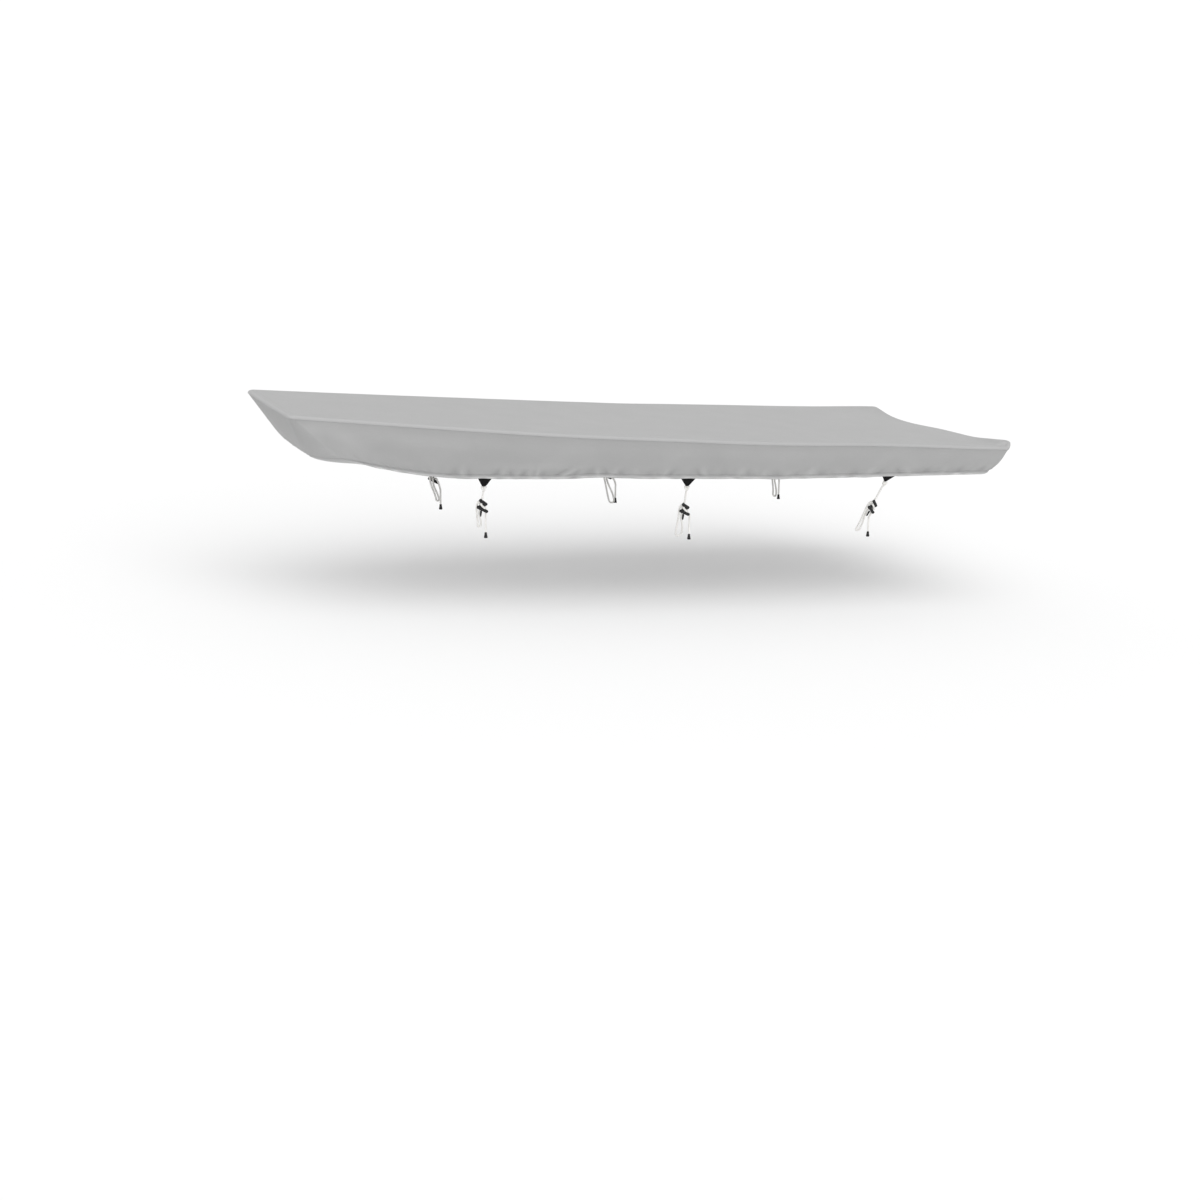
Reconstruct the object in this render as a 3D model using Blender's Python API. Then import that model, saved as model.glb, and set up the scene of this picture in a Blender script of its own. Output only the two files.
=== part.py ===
"""Fitted cloth cover for a 4.3 m flat-bottomed boat, with six rope tie-downs.

The cover is one hollow sheet: a taut top, a soft roll round the boat's rim, and a skirt that follows
the flared sides, the raked bow and the transom down to a drawn hem. Each tie-down hangs from a webbing
tab under the hem: a knotted rope, a moulded zigzag tensioner, a loop for the trailer's beam, and a free
end in a bell-shaped end cap.

Frame: metres, +X to the stern, +Y to starboard, +Z up. The origin is the middle of the top's underside,
where the boat carries the cover.
"""

import math

import bmesh
import bpy
import numpy as np
from mathutils import Matrix, Vector

# ---- cover: driving sizes
BOW_X = -2.135  # bow and stern rims, from the boat's middle
STERN_X = 2.165
THICKNESS = 0.0025  # cloth with its coating and the hem's turned layers
TOP_SAG = 0.012  # the top's middle below the line between the rims
BOW_RISE = 0.073  # sheer: how far the bow rim stands above the midship rim
SHEER_START = 0.30  # the rim is level from the stern to here, then curves up
SHEER_POWER = 1.25
ROLL_RADIUS = 0.016  # cloth rolled over the rim's rail
BOW_DROP = 0.2545  # skirt below the bow rim
STERN_DROP = 0.1755  # skirt below the stern rim
BOW_CORNERS = (0.028, 0.165)  # corner radii in plan, at the rim and at the hem
STERN_CORNERS = (0.020, 0.085)
END_REACH = 1.2  # how far along the side the ends' rake draws the cloth

# Sections along the side: x, half width at the rim, skirt drop below the rim.
STATIONS = (
    (-2.14, 0.409, 0.2445),
    (-1.71, 0.460, 0.2655),
    (-1.28, 0.512, 0.2925),
    (-0.86, 0.562, 0.2715),
    (-0.43, 0.606, 0.2455),
    (0.00, 0.643, 0.2255),
    (0.43, 0.668, 0.2125),
    (0.86, 0.683, 0.2065),
    (1.28, 0.689, 0.1975),
    (1.71, 0.692, 0.1845),
    (2.14, 0.695, 0.1735),
)

# Lean of the skirt from plumb, inwards, in degrees: share of the drop, side, bow, stern.
LEANS = (
    (0.00, 34, 35, 4),
    (0.10, 24, 35, 2),
    (0.25, 16, 35, 2),
    (0.50, 24, 35, 4),
    (0.72, 23, 35, 20),
    (0.86, 15, 48, 48),
    (0.94, 15, 64, 48),
    (1.00, 15, 70, 46),
)

# The hem's channel: height above the hem's edge, how far its face stands proud of the skirt.
HEM_BEAD = ((0.034, 0.0), (0.026, -0.002), (0.019, 0.0035), (0.009, 0.0055), (0.0, 0.0015))

# Places where the hem rides up or hangs low: x, side (-1 port, 1 starboard), lift, half width.
HEM_LIFTS = (
    (-1.75, -1, 0.012, 0.13),
    (-0.42, -1, 0.007, 0.12),
    (0.62, -1, -0.004, 0.15),
    (-1.20, 1, -0.005, 0.15),
    (0.35, 1, 0.008, 0.14),
    (1.50, 1, 0.004, 0.12),
)

# The top's corners and edges above the rim line: x, y, rise, reach in x, reach in y.
RISES = (
    (STERN_X, -0.66, 0.029, 0.06, 0.20),
    (STERN_X, 0.70, 0.010, 0.08, 0.14),
    (STERN_X, 0.34, -0.026, 0.30, 0.36),
)
RISE_FADE = 0.030  # the rises die away over this distance inside the sides' rims
RAIL_RISES = (  # along the rims aft of the middle, in the same columns
    (0.05, -0.68, 0.0135, 0.62, 0.16),
    (1.22, -0.70, 0.0145, 0.62, 0.16),
    (2.12, 0.69, 0.0100, 0.36, 0.12),
)
STERN_EAR = (-0.65, 0.046, 0.09, 0.042)  # the cloth's peak past the stern rim: y, how far, reach in x and y

# ---- tie-downs: driving sizes
ROPE_DIAMETER = 0.011
ROPE_SIDES = 2  # bevel resolution
ROPE_STEP = 0.026  # longest run between the points of a rope's spline
SEAT = 0.0003  # between pieces that touch
TIE_LEAN = 22.0  # degrees from plumb: the ropes lie along the boat's flared side
FREE_SWAY = 5.0  # degrees aft: the free ends hang plumb from a boat that stands bow up on its trailer
FREE_DROP = 0.084  # the free end hangs plumb this far down to its bell
TAB_THICKNESS = 0.0025
TAB_TUCK = 0.012  # how far the tab's sewn end reaches up behind the hem
TAB_CLEAR = 0.0008  # from the hem's inner face
TAB_TIP = 0.028  # width of the tab's tip
TAB_OUT = -(THICKNESS + TAB_CLEAR + TAB_THICKNESS / 2)  # from the hem's outer face out to the tab's middle
KNOT_SIZE = (0.033, 0.023, 0.028)  # across, out, up
TENSIONER_THICKNESS = 0.009
STROKE = 0.0175  # width of the tensioner's strokes
ZIGZAG = ((-0.015, 0.038), (0.0165, 0.012), (-0.0245, -0.006), (0.0245, -0.036))  # its bends: across, up
HOOK_ACROSS = -0.006  # middle of the hook under the lowest stroke
HOOK = ((0.0035, -0.044), (0.0055, -0.049), (0.0055, -0.062), (0.0025, -0.067))  # half width, up
BELL = (  # its profile: radius, up
    (0.0046, 0.0),
    (0.0066, -0.0015),
    (0.0073, -0.0105),
    (0.0101, -0.0255),
    (0.0095, -0.0295),
    (0.0043, -0.030),
)
BELL_SIDES = 12

# Ties along the port side, mirrored to starboard: place, x at the hem, sway aft in degrees, tab width, tab
# height, hem to tensioner, tensioner to the loop's foot, the foot's place across, loop width, the free end's
# place across.
TIES = (
    ("bow", -1.066, 3.0, 0.074, 0.048, 0.1665, 0.140, -0.006, 0.018, 0.025),
    ("mid", 0.090, 7.5, 0.088, 0.049, 0.2005, 0.185, -0.014, 0.037, 0.040),
    ("stern", 1.392, -12.5, 0.086, 0.035, 0.2095, 0.180, -0.004, 0.024, 0.025),
)

# ---- mesh steps
SIDE_STEPS = 38
END_STEPS = 10
CORNER_STEPS = 6  # even, because the top's corners lie half way round
ROLL_TURNS = (0, 30, 60, 90)  # degrees round the rim
SKIRT_SHARES = (0.10, 0.25, 0.50, 0.72)


def blend(rows, column, at):
    """A smooth curve through a table's column, read at the given places along its first column."""
    table = np.array(rows, float)
    x, y = table[:, 0], table[:, column]
    slope = np.gradient(y, x)
    i = np.clip(np.searchsorted(x, at) - 1, 0, len(x) - 2)
    step = x[i + 1] - x[i]
    t = np.clip((at - x[i]) / step, 0, 1)
    rest = 1 - t
    return (
        y[i] * rest**2 * (1 + 2 * t)
        + y[i + 1] * t**2 * (1 + 2 * rest)
        + slope[i] * step * t * rest**2
        - slope[i + 1] * step * t**2 * rest
    )


def half_width(x):
    return blend(STATIONS, 1, x)


def sheer(x):
    """The rim's height over its level stretch: none aft, then a gentle curve up to the bow."""
    run = np.clip(SHEER_START - x, 0, None) / (SHEER_START - BOW_X)
    return BOW_RISE * run**SHEER_POWER


def humps(rows, x, y):
    """The sum of a table's rises, each a Gaussian in x times one in y."""
    return sum(
        height * np.exp(-(((x - at_x) / reach_x) ** 2) - ((y - at_y) / reach_y) ** 2)
        for at_x, at_y, height, reach_x, reach_y in rows
    )


def rise(x, y):
    """Peaks by the stern corners and the sag between them, none of it at the sides' rims, and the rims'
    own slow rises."""
    inside = np.clip((half_width(x) - np.abs(y)) / RISE_FADE, 0, 1)
    return humps(RISES, x, y) * inside**2 * (3 - 2 * inside) + humps(RAIL_RISES, x, y)


def top_height(x, y):
    """Height of the top's outer face over the plan point (x, y)."""
    across = np.clip(1 - (y / half_width(x)) ** 2, 0, 1)
    along = np.clip(1 - (x / STERN_X) ** 2, 0, 1)
    sag = TOP_SAG * (1 - across * along**0.5)
    return THICKNESS + sheer(x) - sheer(0.0) + sag + rise(x, y)


def lean_inset(column, share, drop):
    """How far the skirt has come inwards at a share of its drop: the sum of tan(lean) down to there."""
    fine = np.linspace(0, 1, 201)
    lean = np.interp(fine, [row[0] for row in LEANS], [row[column] for row in LEANS])
    tangent = np.tan(np.radians(lean))
    inwards = np.concatenate([[0], np.cumsum((tangent[1:] + tangent[:-1]) / 2 * np.diff(fine))])
    return np.interp(share, fine, inwards) * drop


def ring_columns():
    """The ring round the cover, as arrays: share of the side's length, turn round the corner, place across
    the end, and side sign. It starts at the bow's port corner and goes aft along the port side."""
    side = [(f, 0.0, 1.0) for f in np.linspace(0, 1, SIDE_STEPS + 1)]
    corner = [(1.0, math.pi / 2 * k / CORNER_STEPS, 1.0) for k in range(1, CORNER_STEPS)]
    end = [(1.0, math.pi / 2, math.sin(e)) for e in np.linspace(math.pi / 2, -math.pi / 2, END_STEPS + 1)]
    rows = [(share, turn, across, -1) for share, turn, across in side + corner + end]
    rows += [(1.0, turn, 1.0, 1) for _, turn, _ in reversed(corner)]
    rows += [(1 - share, 0.0, 1.0, 1) for share, _, _ in side]
    rows += [(0.0, turn, 1.0, 1) for _, turn, _ in corner]
    rows += [(0.0, math.pi / 2, -across, -1) for _, _, across in end]
    rows += [(0.0, turn, 1.0, -1) for _, turn, _ in reversed(corner)]
    return np.array(rows, float).T


def ring(columns, insets, part):
    """Plan points of one ring: the rim's outline drawn in by the side, bow and stern insets."""
    share, turn, across, side_sign = columns
    side_in, bow_in, stern_in = insets
    bow_radius = BOW_CORNERS[0] + part * (BOW_CORNERS[1] - BOW_CORNERS[0])
    stern_radius = STERN_CORNERS[0] + part * (STERN_CORNERS[1] - STERN_CORNERS[0])
    start, stop = BOW_X + bow_radius, STERN_X - stern_radius
    along = start + share * (stop - start)
    bow_pull = np.clip(1 - (along - start) / END_REACH, 0, 1) ** 2
    stern_pull = np.clip(1 - (stop - along) / END_REACH, 0, 1) ** 2
    along = along + bow_in * bow_pull - stern_in * stern_pull
    aft = share > 0.5
    radius = np.where(aft, stern_radius, bow_radius)
    end_x = np.where(aft, STERN_X - stern_in, BOW_X + bow_in)
    sign = np.where(aft, 1.0, -1.0)
    at_corner = turn > 0
    x = np.where(at_corner, end_x - sign * radius * (1 - np.sin(turn)), along)
    y = half_width(x) - side_in - radius * (1 - np.cos(turn))
    return x, side_sign * y * across


def cover_rings():
    """Points of every ring from the top's edge to the hem, as an array rings x columns x 3."""
    columns = ring_columns()
    share, turn, across, side_sign = columns
    rim_x, rim_y = ring(columns, (0.0, 0.0, 0.0), 0.0)
    end_drop = np.where(share > 0.5, STERN_DROP, BOW_DROP)
    end_insets = [lean_inset(column, 1.0, drop) for column, drop in ((2, BOW_DROP), (3, STERN_DROP))]
    hem_x, _ = ring(columns, (0.0, *end_insets), 1.0)
    lift = sum(
        height * np.exp(-(((hem_x - at) / reach) ** 2)) * (side_sign == sign)
        for at, sign, height, reach in HEM_LIFTS
    )
    mix = np.sin(turn) ** 2
    drop = (blend(STATIONS, 2, hem_x) - lift) * (1 - mix) + end_drop * mix
    drop = drop + rise(rim_x, rim_y)
    ear_y, ear_size, reach_x, reach_y = STERN_EAR
    ear = ear_size * np.exp(-(((rim_x - STERN_X) / reach_x) ** 2) - ((rim_y - ear_y) / reach_y) ** 2)
    rings = []

    def add(depth, insets, part):
        x, y = ring(columns, insets, part)
        rings.append(np.stack([x + ear * (1 - part**4), y, top_height(rim_x, rim_y) - depth], axis=1))

    for turned in np.radians(ROLL_TURNS):
        inset = ROLL_RADIUS * (1 - math.sin(turned))
        add(np.full_like(drop, ROLL_RADIUS * (1 - math.cos(turned))), (inset,) * 3, 0.0)
    skirt = drop - ROLL_RADIUS
    bead = [(1 - height / skirt, proud) for height, proud in HEM_BEAD]
    for part, proud in [(np.full_like(drop, s), 0.0) for s in SKIRT_SHARES] + bead:
        insets = [
            lean_inset(1, part, skirt) - proud,
            lean_inset(2, part, BOW_DROP - ROLL_RADIUS) - proud,
            lean_inset(3, part, STERN_DROP - ROLL_RADIUS) - proud,
        ]
        add(ROLL_RADIUS + part * skirt, insets, part)
    return np.array(rings)


def top_grid(edge):
    """The top inside its edge ring: plan points blended from the four edge curves, then the top's height."""
    half = CORNER_STEPS // 2
    nx, ny = SIDE_STEPS + 2 * half, END_STEPS + 2 * half
    index = np.roll(np.arange(len(edge)), half)  # starts half way round the bow's port corner
    port = index[: nx + 1]
    stern = index[nx : nx + ny + 1]
    starboard = index[nx + ny : 2 * nx + ny + 1][::-1]
    bow = np.append(index[2 * nx + ny :], index[0])[::-1]
    u, v = np.linspace(0, 1, nx + 1)[:, None, None], np.linspace(0, 1, ny + 1)[None, :, None]
    a, b, c, d = edge[port], edge[starboard], edge[bow], edge[stern]
    points = (
        (1 - v) * a[:, None] + v * b[:, None] + (1 - u) * c[None] + u * d[None]
        - (1 - u) * (1 - v) * a[0] - (1 - u) * v * b[0] - u * (1 - v) * a[-1] - u * v * b[-1]
    )
    points[..., 2] = top_height(points[..., 0], points[..., 1])
    number = np.full((nx + 1, ny + 1), -1)
    number[:, 0], number[:, -1], number[0, :], number[-1, :] = port, starboard, bow, stern
    return points, number


def cover_mesh():
    """The cover's outer face: the rings joined in bands, and the top's grid sewn to the first ring."""
    rings = cover_rings()
    count = rings.shape[1]
    points, number = top_grid(rings[0])
    inner = number < 0
    number[inner] = rings.shape[0] * count + np.arange(inner.sum())
    vertices = np.concatenate([rings.reshape(-1, 3), points[inner]])
    quads = []
    for k in range(len(rings) - 1):
        for i in range(count):
            j = (i + 1) % count
            quads.append((k * count + i, (k + 1) * count + i, (k + 1) * count + j, k * count + j))
    for i in range(number.shape[0] - 1):
        for j in range(number.shape[1] - 1):
            quads.append((number[i, j], number[i + 1, j], number[i + 1, j + 1], number[i, j + 1]))
    mesh = bpy.data.meshes.new("cover")
    mesh.from_pydata(vertices.tolist(), [], [tuple(int(n) for n in quad) for quad in quads])
    return mesh


# ==== objects
def material(name, color, roughness):
    made = bpy.data.materials.new(name)
    made.use_nodes = True
    shader = made.node_tree.nodes["Principled BSDF"]
    shader.inputs["Base Color"].default_value = (*color, 1.0)
    shader.inputs["Roughness"].default_value = roughness
    return made


def show(name, data, finish, matrix=None):
    made = bpy.data.objects.new(name, data)
    bpy.context.scene.collection.objects.link(made)
    made.data.materials.append(finish)
    if matrix is not None:
        made.matrix_world = matrix
    return made


def closed_mesh(name, vertices, faces):
    """A mesh from points and faces, its faces turned outwards."""
    mesh = bpy.data.meshes.new(name)
    mesh.from_pydata([tuple(float(c) for c in v) for v in vertices], [], faces)
    shape = bmesh.new()
    shape.from_mesh(mesh)
    bmesh.ops.recalc_face_normals(shape, faces=shape.faces)
    shape.to_mesh(mesh)
    shape.free()
    return mesh


def plate_mesh(name, outline, middle, thickness):
    """A flat plate: an outline of (across, up) points, between two planes that stand across Y."""
    count = len(outline)
    front = [(a, middle + thickness / 2, up) for a, up in outline]
    back = [(a, middle - thickness / 2, up) for a, up in outline]
    sides = [(i, (i + 1) % count, count + (i + 1) % count, count + i) for i in range(count)]
    return closed_mesh(name, front + back, [tuple(range(count)), tuple(range(count, 2 * count)), *sides])


def hem_frame(hem_ring, x, side, tab_width):
    """The frame of a tab's place on the hem, as a matrix: X aft along the hem, Z up along the flared side, Y
    across the cloth. Y points inboard to port and outboard to starboard, so the frame is never mirrored."""
    on_side = hem_ring[np.sign(hem_ring[:, 1]) == side]
    on_side = on_side[np.argsort(on_side[:, 0])]
    ends = [x - tab_width / 2, x + tab_width / 2]
    y, z = [np.interp(ends, on_side[:, 0], on_side[:, k]) for k in (1, 2)]
    along = Vector((ends[1] - ends[0], y[1] - y[0], z[1] - z[0])).normalized()
    lean = Matrix.Rotation(math.radians(TIE_LEAN) * -side, 3, along)
    up = lean @ Vector((0, 0, 1))
    across = up.cross(along).normalized()
    frame = Matrix((along, across, along.cross(across))).transposed().to_4x4()
    frame.translation = (x, y.mean(), z.mean())
    return frame


def tab_mesh(name, side, width, height, shift):
    """The webbing tab: sewn behind the hem over its full width, and narrowing to a blunt tip that the rope's
    pull has drawn aside by the shift."""
    tip, corner = TAB_TIP / 2, 0.2 * TAB_TIP
    outline = [
        (-width / 2, TAB_TUCK), (width / 2, TAB_TUCK), (width / 2, 0.0), (shift + tip, corner - height),
        (shift + tip - corner, -height), (shift - tip + corner, -height), (shift - tip, corner - height),
        (-width / 2, 0.0),
    ]
    return plate_mesh(name, outline, side * TAB_OUT, TAB_THICKNESS)


def knot_mesh(name):
    """An overhand knot drawn tight: an egg with two turns of rope bulging round it."""
    rounds, steps = 6, 12
    vertices = [(0, 0, 1)]
    for k in range(1, rounds):
        down = math.pi * k / rounds
        for i in range(steps):
            turn = 2 * math.pi * i / steps
            wide = (0.93 + 0.07 * math.cos(2 * turn + 2.5 * down)) * math.sin(down)
            vertices.append((wide * math.cos(turn), wide * math.sin(turn), math.cos(down)))
    vertices.append((0, 0, -1))
    last = len(vertices) - 1
    faces = []
    for i in range(steps):
        j = (i + 1) % steps
        faces.append((0, 1 + i, 1 + j))
        faces.append((last, last - steps + j, last - steps + i))
        for k in range(rounds - 2):
            a = 1 + k * steps
            faces.append((a + i, a + steps + i, a + steps + j, a + j))
    return closed_mesh(name, np.array(vertices) * np.array(KNOT_SIZE) / 2, faces)


def stroke_side(points, half, sign):
    """One side of a zigzag stroke: the line moved sideways, its outer bends round, its inner bends mitred."""
    moved = []
    for i, point in enumerate(points):
        before = (point - points[i - 1]).normalized() if i else None
        after = (points[i + 1] - point).normalized() if i + 1 < len(points) else None
        normals = [Vector((-d.y, d.x)) * sign for d in (before, after) if d is not None]
        if len(normals) == 1:
            moved.append(point + normals[0] * half)
            continue
        middle = (normals[0] + normals[1]).normalized()
        if (after - before).dot(middle) > 0:
            moved.append(point + middle * half / middle.dot(normals[0]))
        else:
            moved += [point + normals[0] * half, point + middle * half, point + normals[1] * half]
    return moved


def tensioner_mesh(name, side):
    """The moulded zigzag plate: three slanted strokes with rounded ends, and a hook under the lowest."""
    points = [Vector(p) for p in ZIGZAG]
    half = STROKE / 2
    ends = [(points[0] - points[1]).normalized() * half, (points[-1] - points[-2]).normalized() * half]
    upper = stroke_side(points, half, 1)
    lower = stroke_side(points, half, -1)
    start, stop = lower[-2], lower[-1]
    hook = [Vector((HOOK_ACROSS - wide, up)) for wide, up in HOOK]
    hook += [Vector((HOOK_ACROSS + wide, up)) for wide, up in reversed(HOOK)]
    feet = [start.lerp(stop, (corner.x - start.x) / (stop.x - start.x)) for corner in (hook[0], hook[-1])]
    around = lower[:-1] + [feet[0], *hook, feet[1]]
    around += [stop, points[-1] + ends[1]] + upper[::-1] + [points[0] + ends[0]]
    out = ROPE_DIAMETER / 2 + SEAT + TENSIONER_THICKNESS / 2
    return plate_mesh(name, [(p.x, p.y) for p in around], side * out, TENSIONER_THICKNESS)


def smooth_route(points):
    """A smooth curve through the route's points, with at least one point every ROPE_STEP. The curve's
    direction at each point is that of a parabola through it and its neighbours."""
    points = [points[0] * 2 - points[1], *points, points[-1] * 2 - points[-2]]
    curve = []
    for a, b, c, d in zip(points, points[1:], points[2:], points[3:]):
        before, here, after = (b - a).length, (c - b).length, (d - c).length
        leave = ((b - a) * (here / before) + (c - b) * (before / here)) * (here / (before + here))
        arrive = ((c - b) * (after / here) + (d - c) * (here / after)) * (here / (here + after))
        pieces = max(1, math.ceil(here / ROPE_STEP))
        for k in range(pieces):
            t = k / pieces
            rest = 1 - t
            ends = b * (rest**2 * (1 + 2 * t)) + c * (t**2 * (1 + 2 * rest))
            curve.append(ends + leave * (t * rest**2) - arrive * (t**2 * rest))
    return curve + [points[-2]]


def knot_drop(height, sway):
    """How far down the rope's line the knot's middle is, with the knot seated under the tab's tip."""
    across, up = KNOT_SIZE[0] / 2 * math.sin(sway), KNOT_SIZE[2] / 2 * math.cos(sway)
    return (height + SEAT + math.hypot(across, up)) / math.cos(sway)


def rope_route(frame, side, start, reach, loop, foot_across, loop_width, free):
    """A rope's route in the world: from its knot, behind the tensioner's upper bars, round the trailer's beam
    in a loop, back up behind the lower bars, over the middle bar, behind the lowest, and freely down."""
    foot, r = reach + loop, loop_width / 2
    front = ROPE_DIAMETER + 2 * SEAT + TENSIONER_THICKNESS
    held = [  # across, out, down from the hem
        (0.0, TAB_OUT, start),
        (-0.001, TAB_OUT, start + 0.012),
        (-0.0025, TAB_OUT / 2, (start + reach) / 2 - 0.015),
        (-0.004, 0.0, reach - 0.050),
        (-0.0105, -0.0004, reach - 0.034),
        (-0.022, -0.0035, reach - 0.020),
        (-0.028, -0.0045, reach - 0.004),
        (-0.0292, -0.0025, reach + 0.014),
        (-0.0285, -0.0005, reach + 0.036),
        (foot_across - r, 0.0, foot - 2 * r),
        (foot_across - r, 0.0, foot - r),
        (foot_across - 0.7 * r, 0.0, foot - 0.3 * r),
        (foot_across, 0.0, foot),
        (foot_across + 0.7 * r, 0.0, foot - 0.3 * r),
        (foot_across + r, 0.0, foot - r),
        (foot_across + r, 0.0, foot - 2 * r),
        (-0.0125, -0.0005, reach + 0.040),
        (-0.0115, -0.0008, reach + 0.020),
        (-0.0115, -0.0012, reach),
        (-0.0125, -0.001, reach - 0.011),
        (-0.0133, 0.0048, reach - 0.0166),
        (-0.0128, 0.016, reach - 0.0166),
        (-0.0085, front + 0.0007, reach - 0.0125),
        (-0.001, front + 0.001, reach - 0.0045),
        (0.006, front + 0.0007, reach + 0.003),
        (0.0118, 0.017, reach + 0.0085),
        (0.014, 0.006, reach + 0.011),
        (0.0155, -0.0006, reach + 0.016),
        (0.019, -0.0008, reach + 0.030),
        (0.9 * free, 0.0, reach + 0.048),
        (0.98 * free, 0.0, reach + 0.064),
        (free, 0.0, reach + 0.080),
    ]
    route = [frame @ Vector((across, side * out, -down)) for across, out, down in held]
    fall = Vector((math.sin(math.radians(FREE_SWAY)), 0.0, -math.cos(math.radians(FREE_SWAY))))
    last = route[-1]
    return route + [last + fall * FREE_DROP * share for share in (0.25, 0.6, 1.0)]


def rope_curve(name, route):
    curve = bpy.data.curves.new(name, "CURVE")
    curve.dimensions = "3D"
    curve.bevel_depth = ROPE_DIAMETER / 2
    curve.bevel_resolution = ROPE_SIDES
    curve.use_fill_caps = True
    curve.render_resolution_u = 0
    points = smooth_route(route)
    spline = curve.splines.new("POLY")
    spline.points.add(len(points) - 1)
    for place, point in zip(spline.points, points):
        place.co = (*point, 1.0)
    return curve


def bell_mesh(name):
    """The bell-shaped rope end, turned about Z with its mouth down."""
    vertices = [(0.0, 0.0, BELL[0][1])]
    for radius, up in BELL:
        for i in range(BELL_SIDES):
            turn = 2 * math.pi * i / BELL_SIDES
            vertices.append((radius * math.cos(turn), radius * math.sin(turn), up))
    vertices.append((0.0, 0.0, BELL[-1][1]))
    last = len(vertices) - 1
    faces = []
    for i in range(BELL_SIDES):
        j = (i + 1) % BELL_SIDES
        faces.append((0, 1 + i, 1 + j))
        faces.append((last, last - BELL_SIDES + j, last - BELL_SIDES + i))
        for k in range(len(BELL) - 1):
            a = 1 + k * BELL_SIDES
            faces.append((a + i, a + BELL_SIDES + i, a + BELL_SIDES + j, a + j))
    return closed_mesh(name, vertices, faces)


def make_cover(cloth):
    cover = show("cover", cover_mesh(), cloth)
    cover.data.shade_smooth()
    thick = cover.modifiers.new("thickness", "SOLIDIFY")
    thick.thickness = THICKNESS
    thick.offset = -1
    thick.use_even_offset = True
    thick.use_rim = True


def make_tie(hem_ring, tie, side, finishes):
    place, x, sway, tab_width, tab_height, reach, loop, foot_across, loop_width, free = tie
    webbing, braid, moulding = finishes
    name = ("port_" if side < 0 else "starboard_") + place
    sway = math.radians(sway)
    at_hem = hem_frame(hem_ring, x, side, tab_width)
    shift = tab_height * math.tan(sway)
    show("tab_" + name, tab_mesh("tab_" + name, side, tab_width, tab_height, shift), webbing, at_hem)
    frame = at_hem @ Matrix.Rotation(-sway, 4, "Y")
    drop = knot_drop(tab_height, sway)
    knot_place = Matrix.Translation((0, side * TAB_OUT, -drop))
    knot = show("knot_" + name, knot_mesh("knot_" + name), braid, frame @ knot_place)
    knot.data.shade_smooth()
    tensioner = show(
        "tensioner_" + name, tensioner_mesh("tensioner_" + name, side), moulding,
        frame @ Matrix.Translation((0, 0, -reach)),
    )
    edge = tensioner.modifiers.new("edge", "BEVEL")
    edge.width = 0.0012
    edge.segments = 1
    edge.limit_method = "ANGLE"
    edge.angle_limit = math.radians(50)
    start = drop + KNOT_SIZE[2] / 2 + SEAT
    route = rope_route(frame, side, start, reach, loop, foot_across, loop_width, free)
    show("rope_" + name, rope_curve("rope_" + name, route), braid)
    fall = (route[-1] - route[-2]).normalized()
    plumb = Matrix.Rotation(-math.radians(FREE_SWAY), 4, "Y")
    bell_place = Matrix.Translation(route[-1] + fall * SEAT) @ plumb
    bell = show("bell_" + name, bell_mesh("bell_" + name), moulding, bell_place)
    bell.data.shade_smooth()
    bell.data.set_sharp_from_angle(angle=math.radians(40))


for old in list(bpy.data.objects):
    bpy.data.objects.remove(old)

make_cover(material("grey_woven_polyester", (0.47, 0.47, 0.47), 0.85))
hem_ring = cover_rings()[-1]
finishes = (
    material("black_webbing", (0.012, 0.012, 0.013), 0.8),
    material("white_braid", (0.78, 0.78, 0.76), 0.75),
    material("black_moulding", (0.015, 0.015, 0.016), 0.45),
)
for tie in TIES:
    for side in (-1, 1):
        make_tie(hem_ring, tie, side, finishes)
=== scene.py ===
"""A fitted cloth cover for a small boat, with its six rope tie-downs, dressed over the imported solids.

The frame is in metres, +X to the stern, +Y to starboard and +Z up, with the origin under the middle of the
top. The sections follow the cover as it is put together: its top, its skirt and hem, then each tie-down from
the tab at the hem down to the end cap on its rope.
"""

import math

import bpy
import numpy as np
from mathutils import Matrix


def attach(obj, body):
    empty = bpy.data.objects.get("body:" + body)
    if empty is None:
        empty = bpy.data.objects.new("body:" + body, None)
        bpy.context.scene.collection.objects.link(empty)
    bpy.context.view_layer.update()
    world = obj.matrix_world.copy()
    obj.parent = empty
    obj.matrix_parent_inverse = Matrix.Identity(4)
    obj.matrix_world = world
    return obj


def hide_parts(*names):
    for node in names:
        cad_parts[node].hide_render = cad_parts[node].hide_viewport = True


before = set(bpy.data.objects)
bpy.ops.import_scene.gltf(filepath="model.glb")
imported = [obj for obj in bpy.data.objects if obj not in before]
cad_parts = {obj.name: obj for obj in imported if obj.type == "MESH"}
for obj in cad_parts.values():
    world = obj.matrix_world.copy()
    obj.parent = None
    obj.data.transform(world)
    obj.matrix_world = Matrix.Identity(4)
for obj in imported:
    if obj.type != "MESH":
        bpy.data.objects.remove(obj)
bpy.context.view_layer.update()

# ==== camera
# A long lens off the port bow, a little above the rim. It is rolled, because the boat under the cover stands
# bow up and the frame is level with the boat.
CAMERA_PLACE = (-4.587, -8.776, 1.506)
CAMERA_LENS = 52.09  # mm
CAMERA_HEADING, CAMERA_DIP, CAMERA_CANT = -27.10, 14.54, 5.33  # degrees
CAMERA_SIGHT = 400  # how far it sees, m

camera = bpy.data.objects.new("camera", bpy.data.cameras.new("camera"))
camera.data.lens = CAMERA_LENS
camera.data.clip_end = CAMERA_SIGHT
camera.matrix_world = (
    Matrix.Translation(CAMERA_PLACE)
    @ Matrix.Rotation(math.radians(CAMERA_HEADING), 4, "Z")
    @ Matrix.Rotation(math.radians(90 - CAMERA_DIP), 4, "X")
    @ Matrix.Rotation(math.radians(CAMERA_CANT), 4, "Z")
)
bpy.context.collection.objects.link(camera)
bpy.context.scene.camera = camera

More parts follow.
